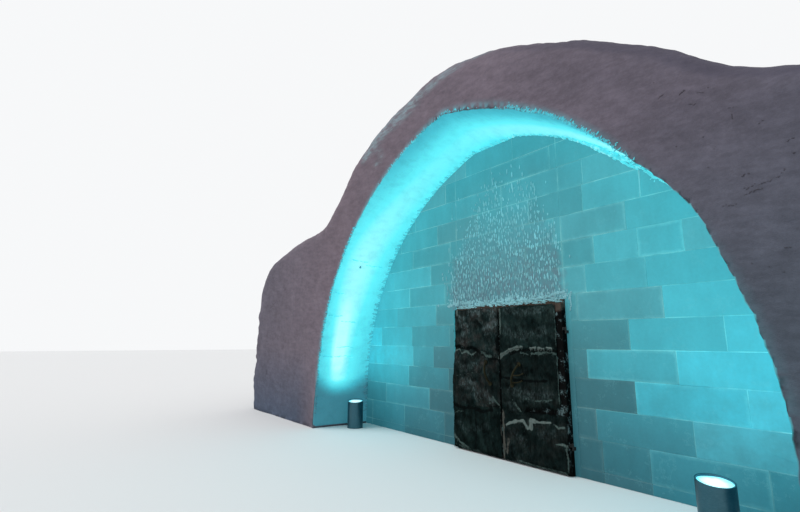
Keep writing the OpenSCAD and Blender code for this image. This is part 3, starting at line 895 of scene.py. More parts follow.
scratches = {       # dark strokes and specks in the front, dirt with the painted shade of the scratches' dents, as places across and up
    "size": (0.010, 0.005, 0.006),
    "leftGrowth": 1.4,
    "pitch": 0.016,
    "seed": 17,
    "strokes": [
        [(3.59, 2.86), (3.68, 2.88), (3.76, 2.88), (3.82, 2.90)], [(3.59, 2.81), (3.64, 2.82), (3.71, 2.84)],
        [(3.44, 2.76), (3.53, 2.75)], [(3.58, 2.96), (3.64, 2.98)], [(3.84, 2.93), (3.86, 2.94)],
        [(3.04, 3.91), (3.08, 3.92)], [(3.22, 3.85), (3.26, 3.88)], [(3.28, 3.73), (3.33, 3.72)],
        [(3.35, 3.81), (3.40, 3.80)], [(3.56, 3.58), (3.60, 3.58)], [(3.58, 3.52), (3.58, 3.49)],
        [(3.74, 3.37), (3.78, 3.38)], [(3.90, 3.16), (3.94, 3.18)], [(3.79, 2.35), (3.82, 2.35)],
        [(2.94, 4.13)], [(3.01, 4.09)], [(3.44, 3.83)], [(3.66, 3.44)], [(3.85, 3.23)], [(3.43, 3.26)],
        [(3.14, 3.39)], [(3.36, 3.40)], [(3.93, 3.06)], [(3.37, 3.12)], [(3.58, 2.25)], [(3.68, 2.22)],
        [(3.76, 2.17)],
        [(-6.37, 3.45), (-6.41, 3.23)], [(-6.54, 3.27), (-6.70, 3.13)], [(-5.69, 2.55), (-5.97, 2.42)],
        [(-5.49, 2.40)], [(-6.44, 2.20)], [(-5.29, 2.14)], [(-4.54, 1.92)], [(-6.36, 1.64)],
        [(-6.06, 0.96), (-6.05, 0.87)], [(-4.71, 0.78), (-4.70, 0.72)],
    ],
}


def makeScratches(setup, snow, material):
    rng = random.Random(setup["seed"])
    surface = BVHTree.FromObject(snow, bpy.context.evaluated_depsgraph_get())
    bm, layers = snowBmesh()
    for points in setup["strokes"]:
        for (fromX, fromZ), (toX, toZ) in zip(points, points[1:] + points[-1:]):
            steps = 1 + int(math.hypot(toX - fromX, toZ - fromZ) / setup["pitch"])
            for step in range(steps):
                t = (step + rng.random()) / steps
                x, z = fromX + (toX - fromX) * t, fromZ + (toZ - fromZ) * t + rng.gauss(0, 0.005)
                spot = surface.ray_cast(Vector((x, snowFront - 1, z)), Vector((0, 1, 0)))[0]
                if spot is None:
                    continue
                grown = rng.uniform(0.5, 1.2) * (setup["leftGrowth"] if x < archMiddle else 1)
                size = [part * grown for part in setup["size"]]
                turn = Matrix.Rotation(-math.atan2(toZ - fromZ, toX - fromX + 1e-6), 4, "Y")
                for vert in addLump(bm, spot, size, rng, turn, 0.35):
                    # dark for dirt and for the painted shade of the scratch
                    vert[layers["dirtAndDentShade"]] = rng.uniform(0.15, 0.55)
    newPiece("scratches", bm, building, [material])


lampSpots = {-1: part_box("left_lamp_lens")[1], 1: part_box("right_lamp_lens")[1]}
snowMaterial = makeSnowMaterial(snowFinish)
snowMass = makeSnow(snowShape, snowMaterial)
makeLipCrumbs(crumbs, snowMaterial)
makeTeeth(crumbs, snowMaterial)
makeLedges(crumbs, snowMaterial)
makeScratches(scratches, snowMass, snowMaterial)


# Ice wall
iceFinish = {
    "topLevel": 4.8,
    "farFromDoors": [            # height, then the ice's colour: dark below the lamps, lit above them
        (0.0, (0.028, 0.160, 0.205)), (0.65, (0.045, 0.265, 0.330)), (1.35, (0.068, 0.500, 0.605)),
        (4.8, (0.085, 0.470, 0.530))],
    "nearDoors": [               # the lamps reach less far down between the doors
        (0.0, (0.028, 0.112, 0.140)), (1.2, (0.045, 0.168, 0.200)), (2.4, (0.070, 0.325, 0.375)),
        (4.8, (0.075, 0.420, 0.490))],
    "nearReach": (1.0, 2.6),     # metres from the doors' middle between which the blocks brighten
    "rime": (1.55, 1.22, 1.17),  # what frost does to a block's border
    "greyBlock": (1.25, 0.90, 0.88),
    "joint": (2.4, 1.50, 1.36),  # what a joint's eased edges do to the ice's colour
    "flaw": (0.24, 0.62, 0.66),
    "frost": (0.105, 0.190, 0.230),
    "glowShare": 0.5,
    "litShare": 0.545,           # what is left for the studio's light
    "pools": [                   # spot, reach and colour of what the lamps light on the ice
        ((-3.00, -2.84, 1.35), 1.25, (0.068, 0.710, 0.870)),
        ((3.45, -2.84, 1.00), 2.30, (0.072, 0.620, 0.780))],
}
markField = {
    "leftFoot": -1.03, "leftFrom": 2.8, "leftSlope": 0.55,      # the field narrows above these heights
    "rightFoot": 1.22, "rightFrom": 2.9, "rightSlope": -0.35,
    "foot": 2.20, "dense": 3.45, "loose": 3.95, "top": 4.35,
    "greyTo": 3.75,              # height up to which the ice between the marks is greyish, frost and painted sky reflection
    "across": (-1.5, 0.12, 1.7),     # ends of the left and the right piece
    "chances": (0.90, 0.07),         # of a mark at a place in the field, and beside it
    "columnPitch": 0.042, "rowPitch": 0.070,
    "markSize": (0.0080, 0.007, 0.032),
    "strays": 46,
    "seed": 5,
}


def markMask(s, field):
    x, _, z = s.axes()
    left = s.maths("ADD", s.times(s.maths("MAXIMUM", s.maths("SUBTRACT", z, field["leftFrom"]), 0.0),
                                  field["leftSlope"]), field["leftFoot"])
    right = s.maths("ADD", s.times(s.maths("MAXIMUM", s.maths("SUBTRACT", z, field["rightFrom"]), 0.0),
                                   field["rightSlope"]), field["rightFoot"])
    ragged = s.ramp(s.noise(5.0, 3), 0.3, 0.7, -0.09, 0.09)
    fromLeft = s.ramp(s.maths("ADD", s.maths("SUBTRACT", x, left), ragged), -0.02, 0.16)
    fromRight = s.ramp(s.maths("ADD", s.maths("SUBTRACT", right, x), ragged), -0.02, 0.12)
    return s.times(fromLeft, fromRight, s.ramp(z, field["greyTo"], 2.55), s.ramp(z, 2.12, 2.2))


def makeIceMaterial(look):
    s = Finish("sawnIce", roughness=0.32, Subsurface_Weight=0.05, Specular_IOR_Level=0.18)
    x, _, high = s.axes()
    level = s.ramp(high, 0.0, look["topLevel"])
    far, near = (s.colours(level, [(z / look["topLevel"], colour) for z, colour in look[key]])
                 for key in ("farFromDoors", "nearDoors"))
    away = s.ragged(s.maths("ABSOLUTE", s.maths("SUBTRACT", x, iceShape["doorMiddle"]), 0.0), 0.22, 1.3, 3)
    aside = s.maths("ADD", s.times(s.mask("aside"), 0.55), s.times(away, 0.45))
    colour = s.blend(s.ramp(aside, *look["nearReach"]), near, far)
    for spot, reach, tint in look["pools"]:
        mottled = s.ramp(s.noise(3.4, 5, 0.65), 0.34, 0.64, 0.45, 1.0)
        pool = s.times(s.ramp(s.nearness(spot, reach), 0.0, 0.9), s.mask("pool"), mottled)
        colour = s.blend(pool, colour, tint)
    tone = s.mask("tone")
    greyed = s.ramp(s.mask("grey"), 0.80, 0.95, 0.0, 0.8)
    colour = s.blend(greyed, colour, s.tinted(colour, look["greyBlock"]))
    cloud = s.ramp(s.noise(1.6, 4, 0.6), 0.34, 0.72, 0.95, 1.06)
    wisps = s.ramp(s.noise(3.0, 5, 0.65, s.stretched((1.6, 1.0, 0.5))), 0.35, 0.75, 0.95, 1.07)
    fine = s.ramp(s.noise(30.0, 3, 0.6), 0.3, 0.7, 0.97, 1.03)
    colour = s.tinted(colour, s.times(s.ramp(tone, 0, 1, 0.90, 1.09), cloud, wisps, fine))
    bubbles = s.times(s.ramp(s.cells(11), 0.030, 0.055, 1.0, 0.0), s.ramp(s.noise(1.4, 2), 0.56, 0.66))
    crazed = s.times(s.ramp(s.noise(4.2, 6, 0.75), 0.585, 0.60), s.ramp(s.noise(4.2, 6, 0.75), 0.625, 0.605))
    uneven = s.ramp(s.noise(9.0, 5, 0.7), 0.3, 0.7, -0.45, 0.20)
    rimy = s.ramp(s.maths("ADD", s.mask("border"), uneven), 0.10, 0.85)
    colour = s.blend(rimy, colour, s.tinted(colour, look["rime"]))
    worn = s.ramp(s.noise(2.6, 3), 0.38, 0.62, 0.15, 1.0)
    colour = s.blend(s.times(s.mask("joint"), worn), colour, s.tinted(colour, look["joint"]))
    colour = s.blend(s.maths("MAXIMUM", s.times(bubbles, 0.20), s.times(crazed, 0.10)), colour, look["flaw"])
    # greyish frost between the marks, partly a painted reflection of the sky
    field = markMask(s, markField)
    speckle = s.ramp(s.noise(22.0, 4, 0.65, s.stretched((1.0, 1.0, 0.45))), 0.32, 0.66, 0.45, 1.0)
    colour = s.blend(s.times(field, speckle), colour, look["frost"])
    normal = s.bump(s.noise(2.2, 3), 0.20, 0.03)
    normal = s.bump(s.noise(24, 3, 0.6, s.stretched((1.0, 1.0, 0.35))), 0.12, 0.006, normal)
    roughness = s.maths("MAXIMUM", s.ramp(cloud, 0.95, 1.06, 0.28, 0.5), s.times(field, 0.7))
    lit, glow = (s.tinted(colour, (look[key],) * 3) for key in ("litShare", "glowShare"))
    return s.finish(lit, normal, roughness, glow)


iceShape = {
    "course": 0.36,
    "firstCourse": 0.12,        # least height of the lowest one
    "courses": 14,
    "reach": 4.2,               # metres that the courses run either way before the arch cuts them
    "leastBlock": (0.05, 0.03),     # width and height under which none is made
    "joints": [                 # where each course's joints stand, from the foot up
        [-3.26, -2.23, -1.17, 1.58, 2.13, 3.20], [-3.26, -2.23, -1.17, 1.58, 2.13, 3.20],
        [-2.82, -1.54, 1.53, 2.60], [-2.11, -1.05, 2.03, 3.11], [-1.98, -1.42, 1.46, 2.51],
        [-2.98, -2.01, -1.0, 2.02, 2.99], [-2.46, -1.34, 1.38, 2.43], [-2.08, -1.11, 0.1, 1.52, 2.28],
        [-2.57, -1.47, -0.4, 0.6, 1.66, 2.21, 2.71], [-1.99, -0.95, 0.1, 1.1, 2.10],
        [-2.35, -1.29, -0.3, 0.7, 1.55, 2.30], [-1.9, -0.9, 0.2, 1.58],
        [-1.05, 0.0, 1.1], [-0.55, 0.45]],
    "unevenFace": 0.005,        # metres that a block stands proud or back
    "edge": 0.0055,
    "border": 0.045,            # width of the frosted border of a block's face
    "buried": 0.025,            # metres that the blocks run on into the snow
    "poolBlocks": [             # a place on each block that the pools of light reach, and how much
        (-2.9, 1.4, 1.0), (-2.9, 1.0, 0.28), (-3.1, 1.7, 0.95), (-2.5, 1.7, 0.15), (-2.9, 2.1, 0.40),
        (2.5, 1.0, 0.80), (3.4, 1.0, 0.75), (3.0, 0.66, 0.50), (3.0, 1.4, 0.70), (3.2, 1.8, 0.45)],
    "doorMiddle": 0.08,
    "seed": 7,
}


def addBlock(bm, layers, low, high, looks, shape):
    # one sawn block with eased edges, cut along the arch where it meets it
    made = addBox(bm, low, high)
    whole = True
    for side in (-1, 1):
        onEdge = Vector((archReach(side, low[2]), 0, low[2]))
        along = Vector((archReach(side, high[2]) - onEdge.x, 0, high[2] - low[2]))
        outward = Vector((side * along.z, 0, -side * along.x)).normalized()
        onEdge += outward * shape["buried"]
        live = [v for v in made if v.is_valid]
        if all((v.co - onEdge).dot(outward) < 1e-5 for v in live):
            continue
        whole = False
        geometry = live + list({e for v in live for e in v.link_edges})
        geometry += list({f for v in live for f in v.link_faces})
        cut = bmesh.ops.bisect_plane(bm, geom=geometry, plane_co=onEdge, plane_no=outward, clear_outer=True)
        rim = [e for e in cut["geom_cut"] if isinstance(e, bmesh.types.BMEdge)]
        if rim:
            bmesh.ops.holes_fill(bm, edges=rim, sides=0)
        made = [v for v in cut["geom"] if isinstance(v, bmesh.types.BMVert) and v.is_valid]
        made = list(set(made) | {v for e in rim for v in e.verts})
    live = [v for v in made if v.is_valid]
    if len(live) < 4:
        return
    edges = list({e for v in live for e in v.link_edges if len(e.link_faces) == 2})
    bevelled = bmesh.ops.bevel(
        bm, geom=edges, offset=shape["edge"], affect="EDGES", segments=1, profile=0.5, material=-1)
    for face in bevelled["faces"]:
        face[layers["joint"]] = 1.0
    faces = {f for v in bevelled["verts"] for f in v.link_faces}
    for face in faces:
        face.normal_update()
    front = min(faces, key=lambda face: face.normal.y * face.calc_area())
    if whole and min(high[0] - low[0], high[2] - low[2]) > 3 * shape["border"]:
        for vert in front.verts:
            vert[layers["border"]] = looks["frosted"]
        bmesh.ops.inset_individual(
            bm, faces=[front], thickness=shape["border"], depth=0, use_even_offset=True)
        for vert in front.verts:
            vert[layers["border"]] = 0.0
    for face in {f for v in bevelled["verts"] for f in v.link_faces} | {front}:
        for key in ("tone", "grey", "pool", "aside"):
            face[layers[key]] = looks[key]


def makeIceWall(shape, material):
    rng = random.Random(shape["seed"])
    spring = iceTop - shape["course"] * round((iceTop - shape["firstCourse"]) / shape["course"])
    levels = [0.0] + [spring + shape["course"] * k for k in range(shape["courses"])]
    regions = {
        "ice_wall_left": (-shape["reach"], doorLeft, 0.0),
        "ice_wall_right": (doorRight, shape["reach"], 0.0),
        "ice_wall_over_door": (doorLeft, doorRight, overLow.z),
    }
    courses = []
    for foot, head, places in zip(levels, levels[1:], shape["joints"]):
        joints = [-shape["reach"]] + places + [shape["reach"]]
        blocks = []
        for a, b in zip(joints, joints[1:]):
            caught = [share for x, z, share in shape["poolBlocks"] if a < x < b and foot < z < head]
            ends = (min(max(x, archReach(-1, foot)), archReach(1, foot)) for x in (a, b))
            looks = {
                "tone": rng.random(), "grey": rng.random(), "pool": max([0.06] + caught),
                "frosted": rng.uniform(0.2, 1.0), "aside": abs(sum(ends) / 2 - shape["doorMiddle"]),
            }
            blocks.append((a, b, looks, rng.uniform(-1, 1)))
        courses.append((foot, head, blocks))
    for node, (fromX, toX, fromZ) in regions.items():
        bm = bmesh.new()
        layers = {key: bm.faces.layers.float.new(key) for key in ("tone", "grey", "pool", "aside", "joint")}
        layers["border"] = bm.verts.layers.float.new("border")
        for foot, head, blocks in courses:
            low, high = max(foot, fromZ), min(head, iceTop)
            if high - low < shape["leastBlock"][1]:
                continue
            for a, b, looks, proud in blocks:
                left = max(a, fromX, archReach(-1, low) - shape["buried"])
                right = min(b, toX, archReach(1, low) + shape["buried"])
                if right - left < shape["leastBlock"][0]:
                    continue
                face = iceFront + shape["unevenFace"] * proud
                addBlock(bm, layers, (left, face, low), (right, iceBack, high), looks, shape)
        name = node.replace("ice_wall", "iceBlocks")
        piece = newPiece(name, bm, building, [material], smoothShade=False)
        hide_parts(node)
        print(piece.name, len(piece.data.polygons), "faces")


# Frost on the ice over the doors
frostFinish = {
    "low": (0.150, 0.315, 0.352),
    "high": (0.150, 0.440, 0.490),
    "white": (0.24, 0.45, 0.48),
    "glow": 0.45,
}


def makeFrostMaterial(name, look, paleness):
    s = Finish(name, roughness=0.6, Subsurface_Weight=0.05, Specular_IOR_Level=0.2)
    _, _, high = s.axes()
    grain = s.shared(grainEffect, Scale=60.0)
    patches = s.ramp(s.noise(4.0, 3), 0.38, 0.66, 0.80, 1.15)
    colour = s.blend(s.ramp(high, markField["foot"], markField["dense"]), look["low"], look["high"])
    colour = s.tinted(colour, patches)
    colour = s.blend(s.times(grain["Sparkle"], paleness), colour, look["white"])
    return s.finish(colour, s.bump(grain["Height"], 0.4, 0.006), glow=s.tinted(colour, (look["glow"],) * 3))


def fieldSpan(field, z):
    left = field["leftFoot"] + field["leftSlope"] * max(0, z - field["leftFrom"])
    right = field["rightFoot"] + field["rightSlope"] * max(0, z - field["rightFrom"])
    return left, right


def addMark(bm, x, z, scale, field, rng):
    wide, deep, tall = (part * scale for part in field["markSize"])
    turn = Matrix.Rotation(rng.uniform(-0.10, 0.10), 4, "Y")
    tall *= rng.uniform(0.55, 1.45)
    addLump(bm, (x, iceFront - deep * 0.35, z), (wide * rng.uniform(0.7, 1.4), deep, tall), rng, turn, 0.25)


def makeMarks(field, material):
    # a bell-shaped field of short upright drips and chips
    rng = random.Random(field["seed"])
    start, middle, end = field["across"]
    inside, beside = field["chances"]
    for half, (fromX, toX) in {"left": (start, middle), "right": (middle, end)}.items():
        bm = bmesh.new()
        z = field["foot"] + 0.08
        while z < field["top"]:
            x = start + rng.uniform(0, field["columnPitch"])
            left, right = fieldSpan(field, z)
            crowd = 1 - 0.45 * smooth(z, field["dense"] - 0.3, field["loose"])
            crowd -= 0.42 * smooth(z, field["loose"] - 0.1, field["top"])
            while x < end:
                inField = smooth(x, left - 0.05, left + 0.16) * smooth(-x, -right - 0.05, -right + 0.12)
                nearField = smooth(x, left - 0.38, left) * smooth(-x, -right - 0.30, -right)
                keep = rng.random() < max(inside * crowd * inField, beside * nearField * crowd)
                spot = (x + rng.uniform(-0.018, 0.018), z + rng.uniform(-0.040, 0.040))
                if keep and fromX <= x < toX:
                    addMark(bm, *spot, rng.uniform(0.75, 1.35), field, rng)
                x += field["columnPitch"]
            z += field["rowPitch"]
        for _ in range(field["strays"]):
            spot = (rng.uniform(-1.0, 1.2), rng.uniform(3.4, 4.35))
            if fromX <= spot[0] < toX and rng.random() < 0.5:
                addMark(bm, *spot, rng.uniform(0.8, 1.3), field, rng)
        piece = newPiece("drips_" + half, bm, building, [material])
        print(piece.name, len(piece.data.polygons), "faces")


lintelFrost = {
    "seed": 21,
    "count": 300,
    "fromX": -1.05,
    "toX": 1.32,
    "foot": 2.215,
    "size": (0.008, 0.022),
    "overhang": 620,             # lumps that hang over the lintel
    "clearOf": 2.168,            # height that they stay above, clear of the leaves
    "crust": [(0.62, 2.235), (0.80, 2.250), (0.98, 2.270), (1.10, 2.300), (1.22, 2.315)],
    "crustWidth": 0.022,
    "run": [(1.31, 2.30), (1.29, 2.22), (1.30, 2.14), (1.28, 2.06)],
    "runWidth": 0.011,
    "lumps": 11,                 # on each stretch of these two lines
}


def makeLintelFrost(setup, material):
    rng = random.Random(setup["seed"])
    bm = bmesh.new()
    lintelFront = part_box("door_lintel")[0].y
    for _ in range(setup["count"]):
        x = rng.uniform(setup["fromX"], setup["toX"])
        rise = abs(rng.gauss(0, 0.030)) * (1.4 if x > 0.6 or x < -0.7 else 1.0)
        rise += 0.05 * max(0.0, noise.noise(Vector((x * 2.2, 3, 0))))
        size = rng.uniform(*setup["size"])
        turn = Matrix.Rotation(rng.uniform(-0.3, 0.3), 4, "Y")
        shape = (size * rng.uniform(0.7, 1.3), 0.010, size * rng.uniform(0.9, 1.7))
        addLump(bm, (x, iceFront - 0.003, setup["foot"] + 0.012 + rise), shape, rng, turn, 0.3)
    for _ in range(setup["overhang"]):
        x = rng.uniform(doorLeft + 0.02, doorRight - 0.01)
        size = rng.uniform(*setup["size"])
        tall = size * rng.uniform(0.35, 0.7)
        down = rng.uniform(0, 0.05) * (0.6 if noise.noise(Vector((x * 2.6, 8, 0))) > 0.22 else 1.0)
        high = max(setup["clearOf"] + tall * 1.3, setup["foot"] + 0.008 - down)
        spot = (x, rng.uniform(lintelFront - 0.004, lintelFront + 0.02), high)
        addLump(bm, spot, (size * 1.5, 0.010, tall), rng, Matrix.Identity(4), 0.3)
    for kind in ("crust", "run"):
        line, wide = setup[kind], setup[kind + "Width"]
        for (fromX, fromZ), (toX, toZ) in zip(line, line[1:]):
            for step in range(setup["lumps"]):
                t = (step + rng.random()) / setup["lumps"]
                z = fromZ + (toZ - fromZ) * t + rng.uniform(-0.012, 0.012)
                spot = (fromX + (toX - fromX) * t, iceFront - 0.008, z)
                addLump(bm, spot, (wide, 0.012, wide * 0.7), rng, Matrix.Rotation(-0.15, 4, "Y"), 0.3)
    newPiece("lintelFrost", bm, building, [material])


doorTrim = {
    "stripWidth": 0.075,
    "stripProud": 0.006,
    "stripTop": 2.20,
    "edge": 0.004,
    "dripLine": (2.30, 3.37, 3.70),     # place across, then from foot to top
    "dripWidth": (0.003, 0.011),
    "dripPitch": 0.017,
    "dripSeed": 3,
}


def makeDoorTrim(setup, iceMaterial, frostMaterial):
    # smooth strips of clear ice beside the doors, and one frozen run higher up
    for name, fromX, toX in (
        ("iceStrip_left", doorLeft - setup["stripWidth"], doorLeft - 0.001),
        ("iceStrip_right", doorRight + 0.001, doorRight + setup["stripWidth"]),
    ):
        bm = bmesh.new()
        layers = {key: bm.faces.layers.float.new(key) for key in ("tone", "grey", "joint")}
        proud = setup["stripProud"]
        addBox(bm, (fromX, iceFront - proud, 0), (toX, iceFront + proud, setup["stripTop"]))
        bmesh.ops.bevel(
            bm, geom=bm.edges[:], offset=setup["edge"], affect="EDGES", segments=2, profile=0.5, material=-1)
        for face in bm.faces:
            face[layers["tone"]] = 1.0
        newPiece(name, bm, building, [iceMaterial], smoothShade=False)
    rng = random.Random(setup["dripSeed"])
    bm = bmesh.new()
    x, low, high = setup["dripLine"]
    thin, thick = setup["dripWidth"]
    z = low
    while z < high:
        share = (z - low) / (high - low)
        wide = thin + (thick - thin) * share * share
        addLump(bm, (x + 0.01 * math.sin(z * 9), iceFront - 0.002, z), (wide, 0.006, 0.022), rng,
                Matrix.Identity(4), 0.15)
        z += setup["dripPitch"]
    newPiece("frozenRun", bm, building, [frostMaterial])


iceMaterial = makeIceMaterial(iceFinish)
frostMaterial = makeFrostMaterial("chippedFrost", frostFinish, 0.25)
makeIceWall(iceShape, iceMaterial)
makeMarks(markField, frostMaterial)
makeLintelFrost(lintelFrost, makeFrostMaterial("lumpyFrost", frostFinish, 0.5))
makeDoorTrim(doorTrim, iceMaterial, frostMaterial)


# Door leaves: planks, hides and fur
hideFinish = {
    "dark": (0.0026, 0.0066, 0.0064),
    "brown": (0.027, 0.0240, 0.0225),
    "green": (0.011, 0.021, 0.019),
    "paleHairAndSheen": (0.066, 0.092, 0.097),
    "skin": (0.070, 0.070, 0.062),
    "frost": (0.058, 0.088, 0.082),
    "white": (0.135, 0.165, 0.155),
    "shade": (0.0016, 0.0026, 0.0028),
}


def makeHideMaterial(look):
    s = Finish("hide", roughness=0.9, Specular_IOR_Level=0.03)
    hair = s.noise(26.0, 5, 0.7, s.stretched((5.0, 5.0, 0.9)))
    patch = s.ramp(s.noise(6.5, 5, 0.65), 0.38, 0.62)
    wide = s.ramp(s.noise(2.4, 3), 0.38, 0.62, 0.25, 1.0)
    warm, pale = s.mask("warm"), s.mask("pale")
    colour = s.blend(s.times(patch, s.ramp(warm, 0.3, 0.7)), look["green"], look["brown"])
    tufty = s.maths("MAXIMUM", s.times(patch, wide, s.ramp(warm, 0, 1, 0.4, 1.0)), s.times(pale, 0.8))
    colour = s.blend(tufty, look["dark"], colour)
    # pale strands of hair, partly a painted sheen on the fur
    strands = s.ramp(s.noise(24.0, 6, 0.75, s.stretched((2.2, 2.2, 0.8))), 0.46, 0.74)
    paler = s.maths("ADD", s.times(wide, warm, 0.40), s.times(pale, 0.95))
    colour = s.blend(s.times(strands, paler), colour, look["paleHairAndSheen"])
    # painted shade and light of folds, as if lit from one side
    folds = s.ramp(s.relief(4.6, (0.05, 0, 0.07), (1.5, 1.5, 1.0)), -0.16, 0.16, 0.45, 1.60)
    colour = s.tinted(colour, s.times(folds, s.mask("tone")))
    shade = s.ramp(s.ragged(s.mask("shade"), 0.25, 14), 0.30, 0.70)
    colour = s.blend(s.times(shade, 0.9), colour, look["shade"])
    colour = s.blend(s.ramp(s.ragged(s.mask("skin"), 0.25, 16), 0.35, 0.60), colour, look["skin"])
    frost = s.shared(frostEffect, Amount=s.mask("frost"))
    icy = s.blend(s.ramp(s.maths("ADD", s.mask("frost"), s.ramp(hair, 0.3, 0.7, -0.2, 0.2)), 0.65, 1.0),
                  look["frost"], look["white"])
    colour = s.blend(s.times(frost["Mask"], 0.9), colour, icy)
    return s.finish(colour, s.bump(hair, 0.6, 0.010))


hideShape = {
    "thickness": 0.010,
    "clear": 0.007,             # how far the outer face stays inside the frame's own hide
    "sideGap": 0.002,
    "furReach": (0.042, 0.030),     # how far fur may pass the left and the right leaf's outer edge
    "furGap": 0.005,            # and how far it stays from the line where the leaves meet
    "furFoot": 0.014,           # least height of its tips
    "folds": 0.010,
    "edgeDepth": 0.014,         # how far the rounded edges stand off the boards
    "edgeRound": 0.055,
    "ragged": 0.018,
    "columns": 80, "rows": 62,
    "tufts": 1100,
    "edgeTufts": 420,
    "tuftLength": (0.022, 0.048),
    "tuftWidth": 0.0028,
    "seed": 31,
}
outerEdge = [   # height, then how far the left leaf's hides stand inside or, below 0, outside its boards
    (0.0, -0.020), (0.25, -0.034), (0.5, -0.016), (0.75, -0.040), (1.0, -0.034), (1.25, -0.012),
    (1.5, 0.030), (2.2, 0.040)]
hides = {       # how brown and pale each is, the cut of its top corner, and its lower edge if it hangs free
    "left_upper_hide": {"warm": 0.95, "tone": 1.45, "corner": 0.0, "hem": [
        (-0.80, 1.57), (-0.66, 1.59), (-0.52, 1.55), (-0.40, 1.57), (-0.22, 1.50), (-0.05, 1.46),
        (0.14, 1.43)]},
    "left_middle_hide": {"warm": 0.85, "tone": 1.05, "corner": 0.0, "hem": [
        (-0.80, 0.68), (-0.60, 0.65), (-0.38, 0.67), (-0.20, 0.64), (-0.05, 0.70), (0.14, 0.73)]},
    "left_lower_hide": {"warm": 0.22, "tone": 1.0, "corner": 0.0, "hem": None},
    "right_upper_hide": {"warm": 0.38, "tone": 1.50, "corner": 0.05, "hem": [
        (0.15, 1.44), (0.30, 1.50), (0.42, 1.55), (0.60, 1.565), (0.80, 1.55), (1.00, 1.545),
        (1.12, 1.53)]},
    "right_middle_hide": {"warm": 0.45, "tone": 0.90, "corner": 0.0, "hem": [
        (0.15, 0.72), (0.28, 0.69), (0.40, 0.64), (0.52, 0.66), (0.62, 0.75), (0.85, 0.78), (1.12, 0.80)]},
    "right_lower_hide": {"warm": 0.55, "tone": 0.85, "corner": 0.0, "hem": None},
}
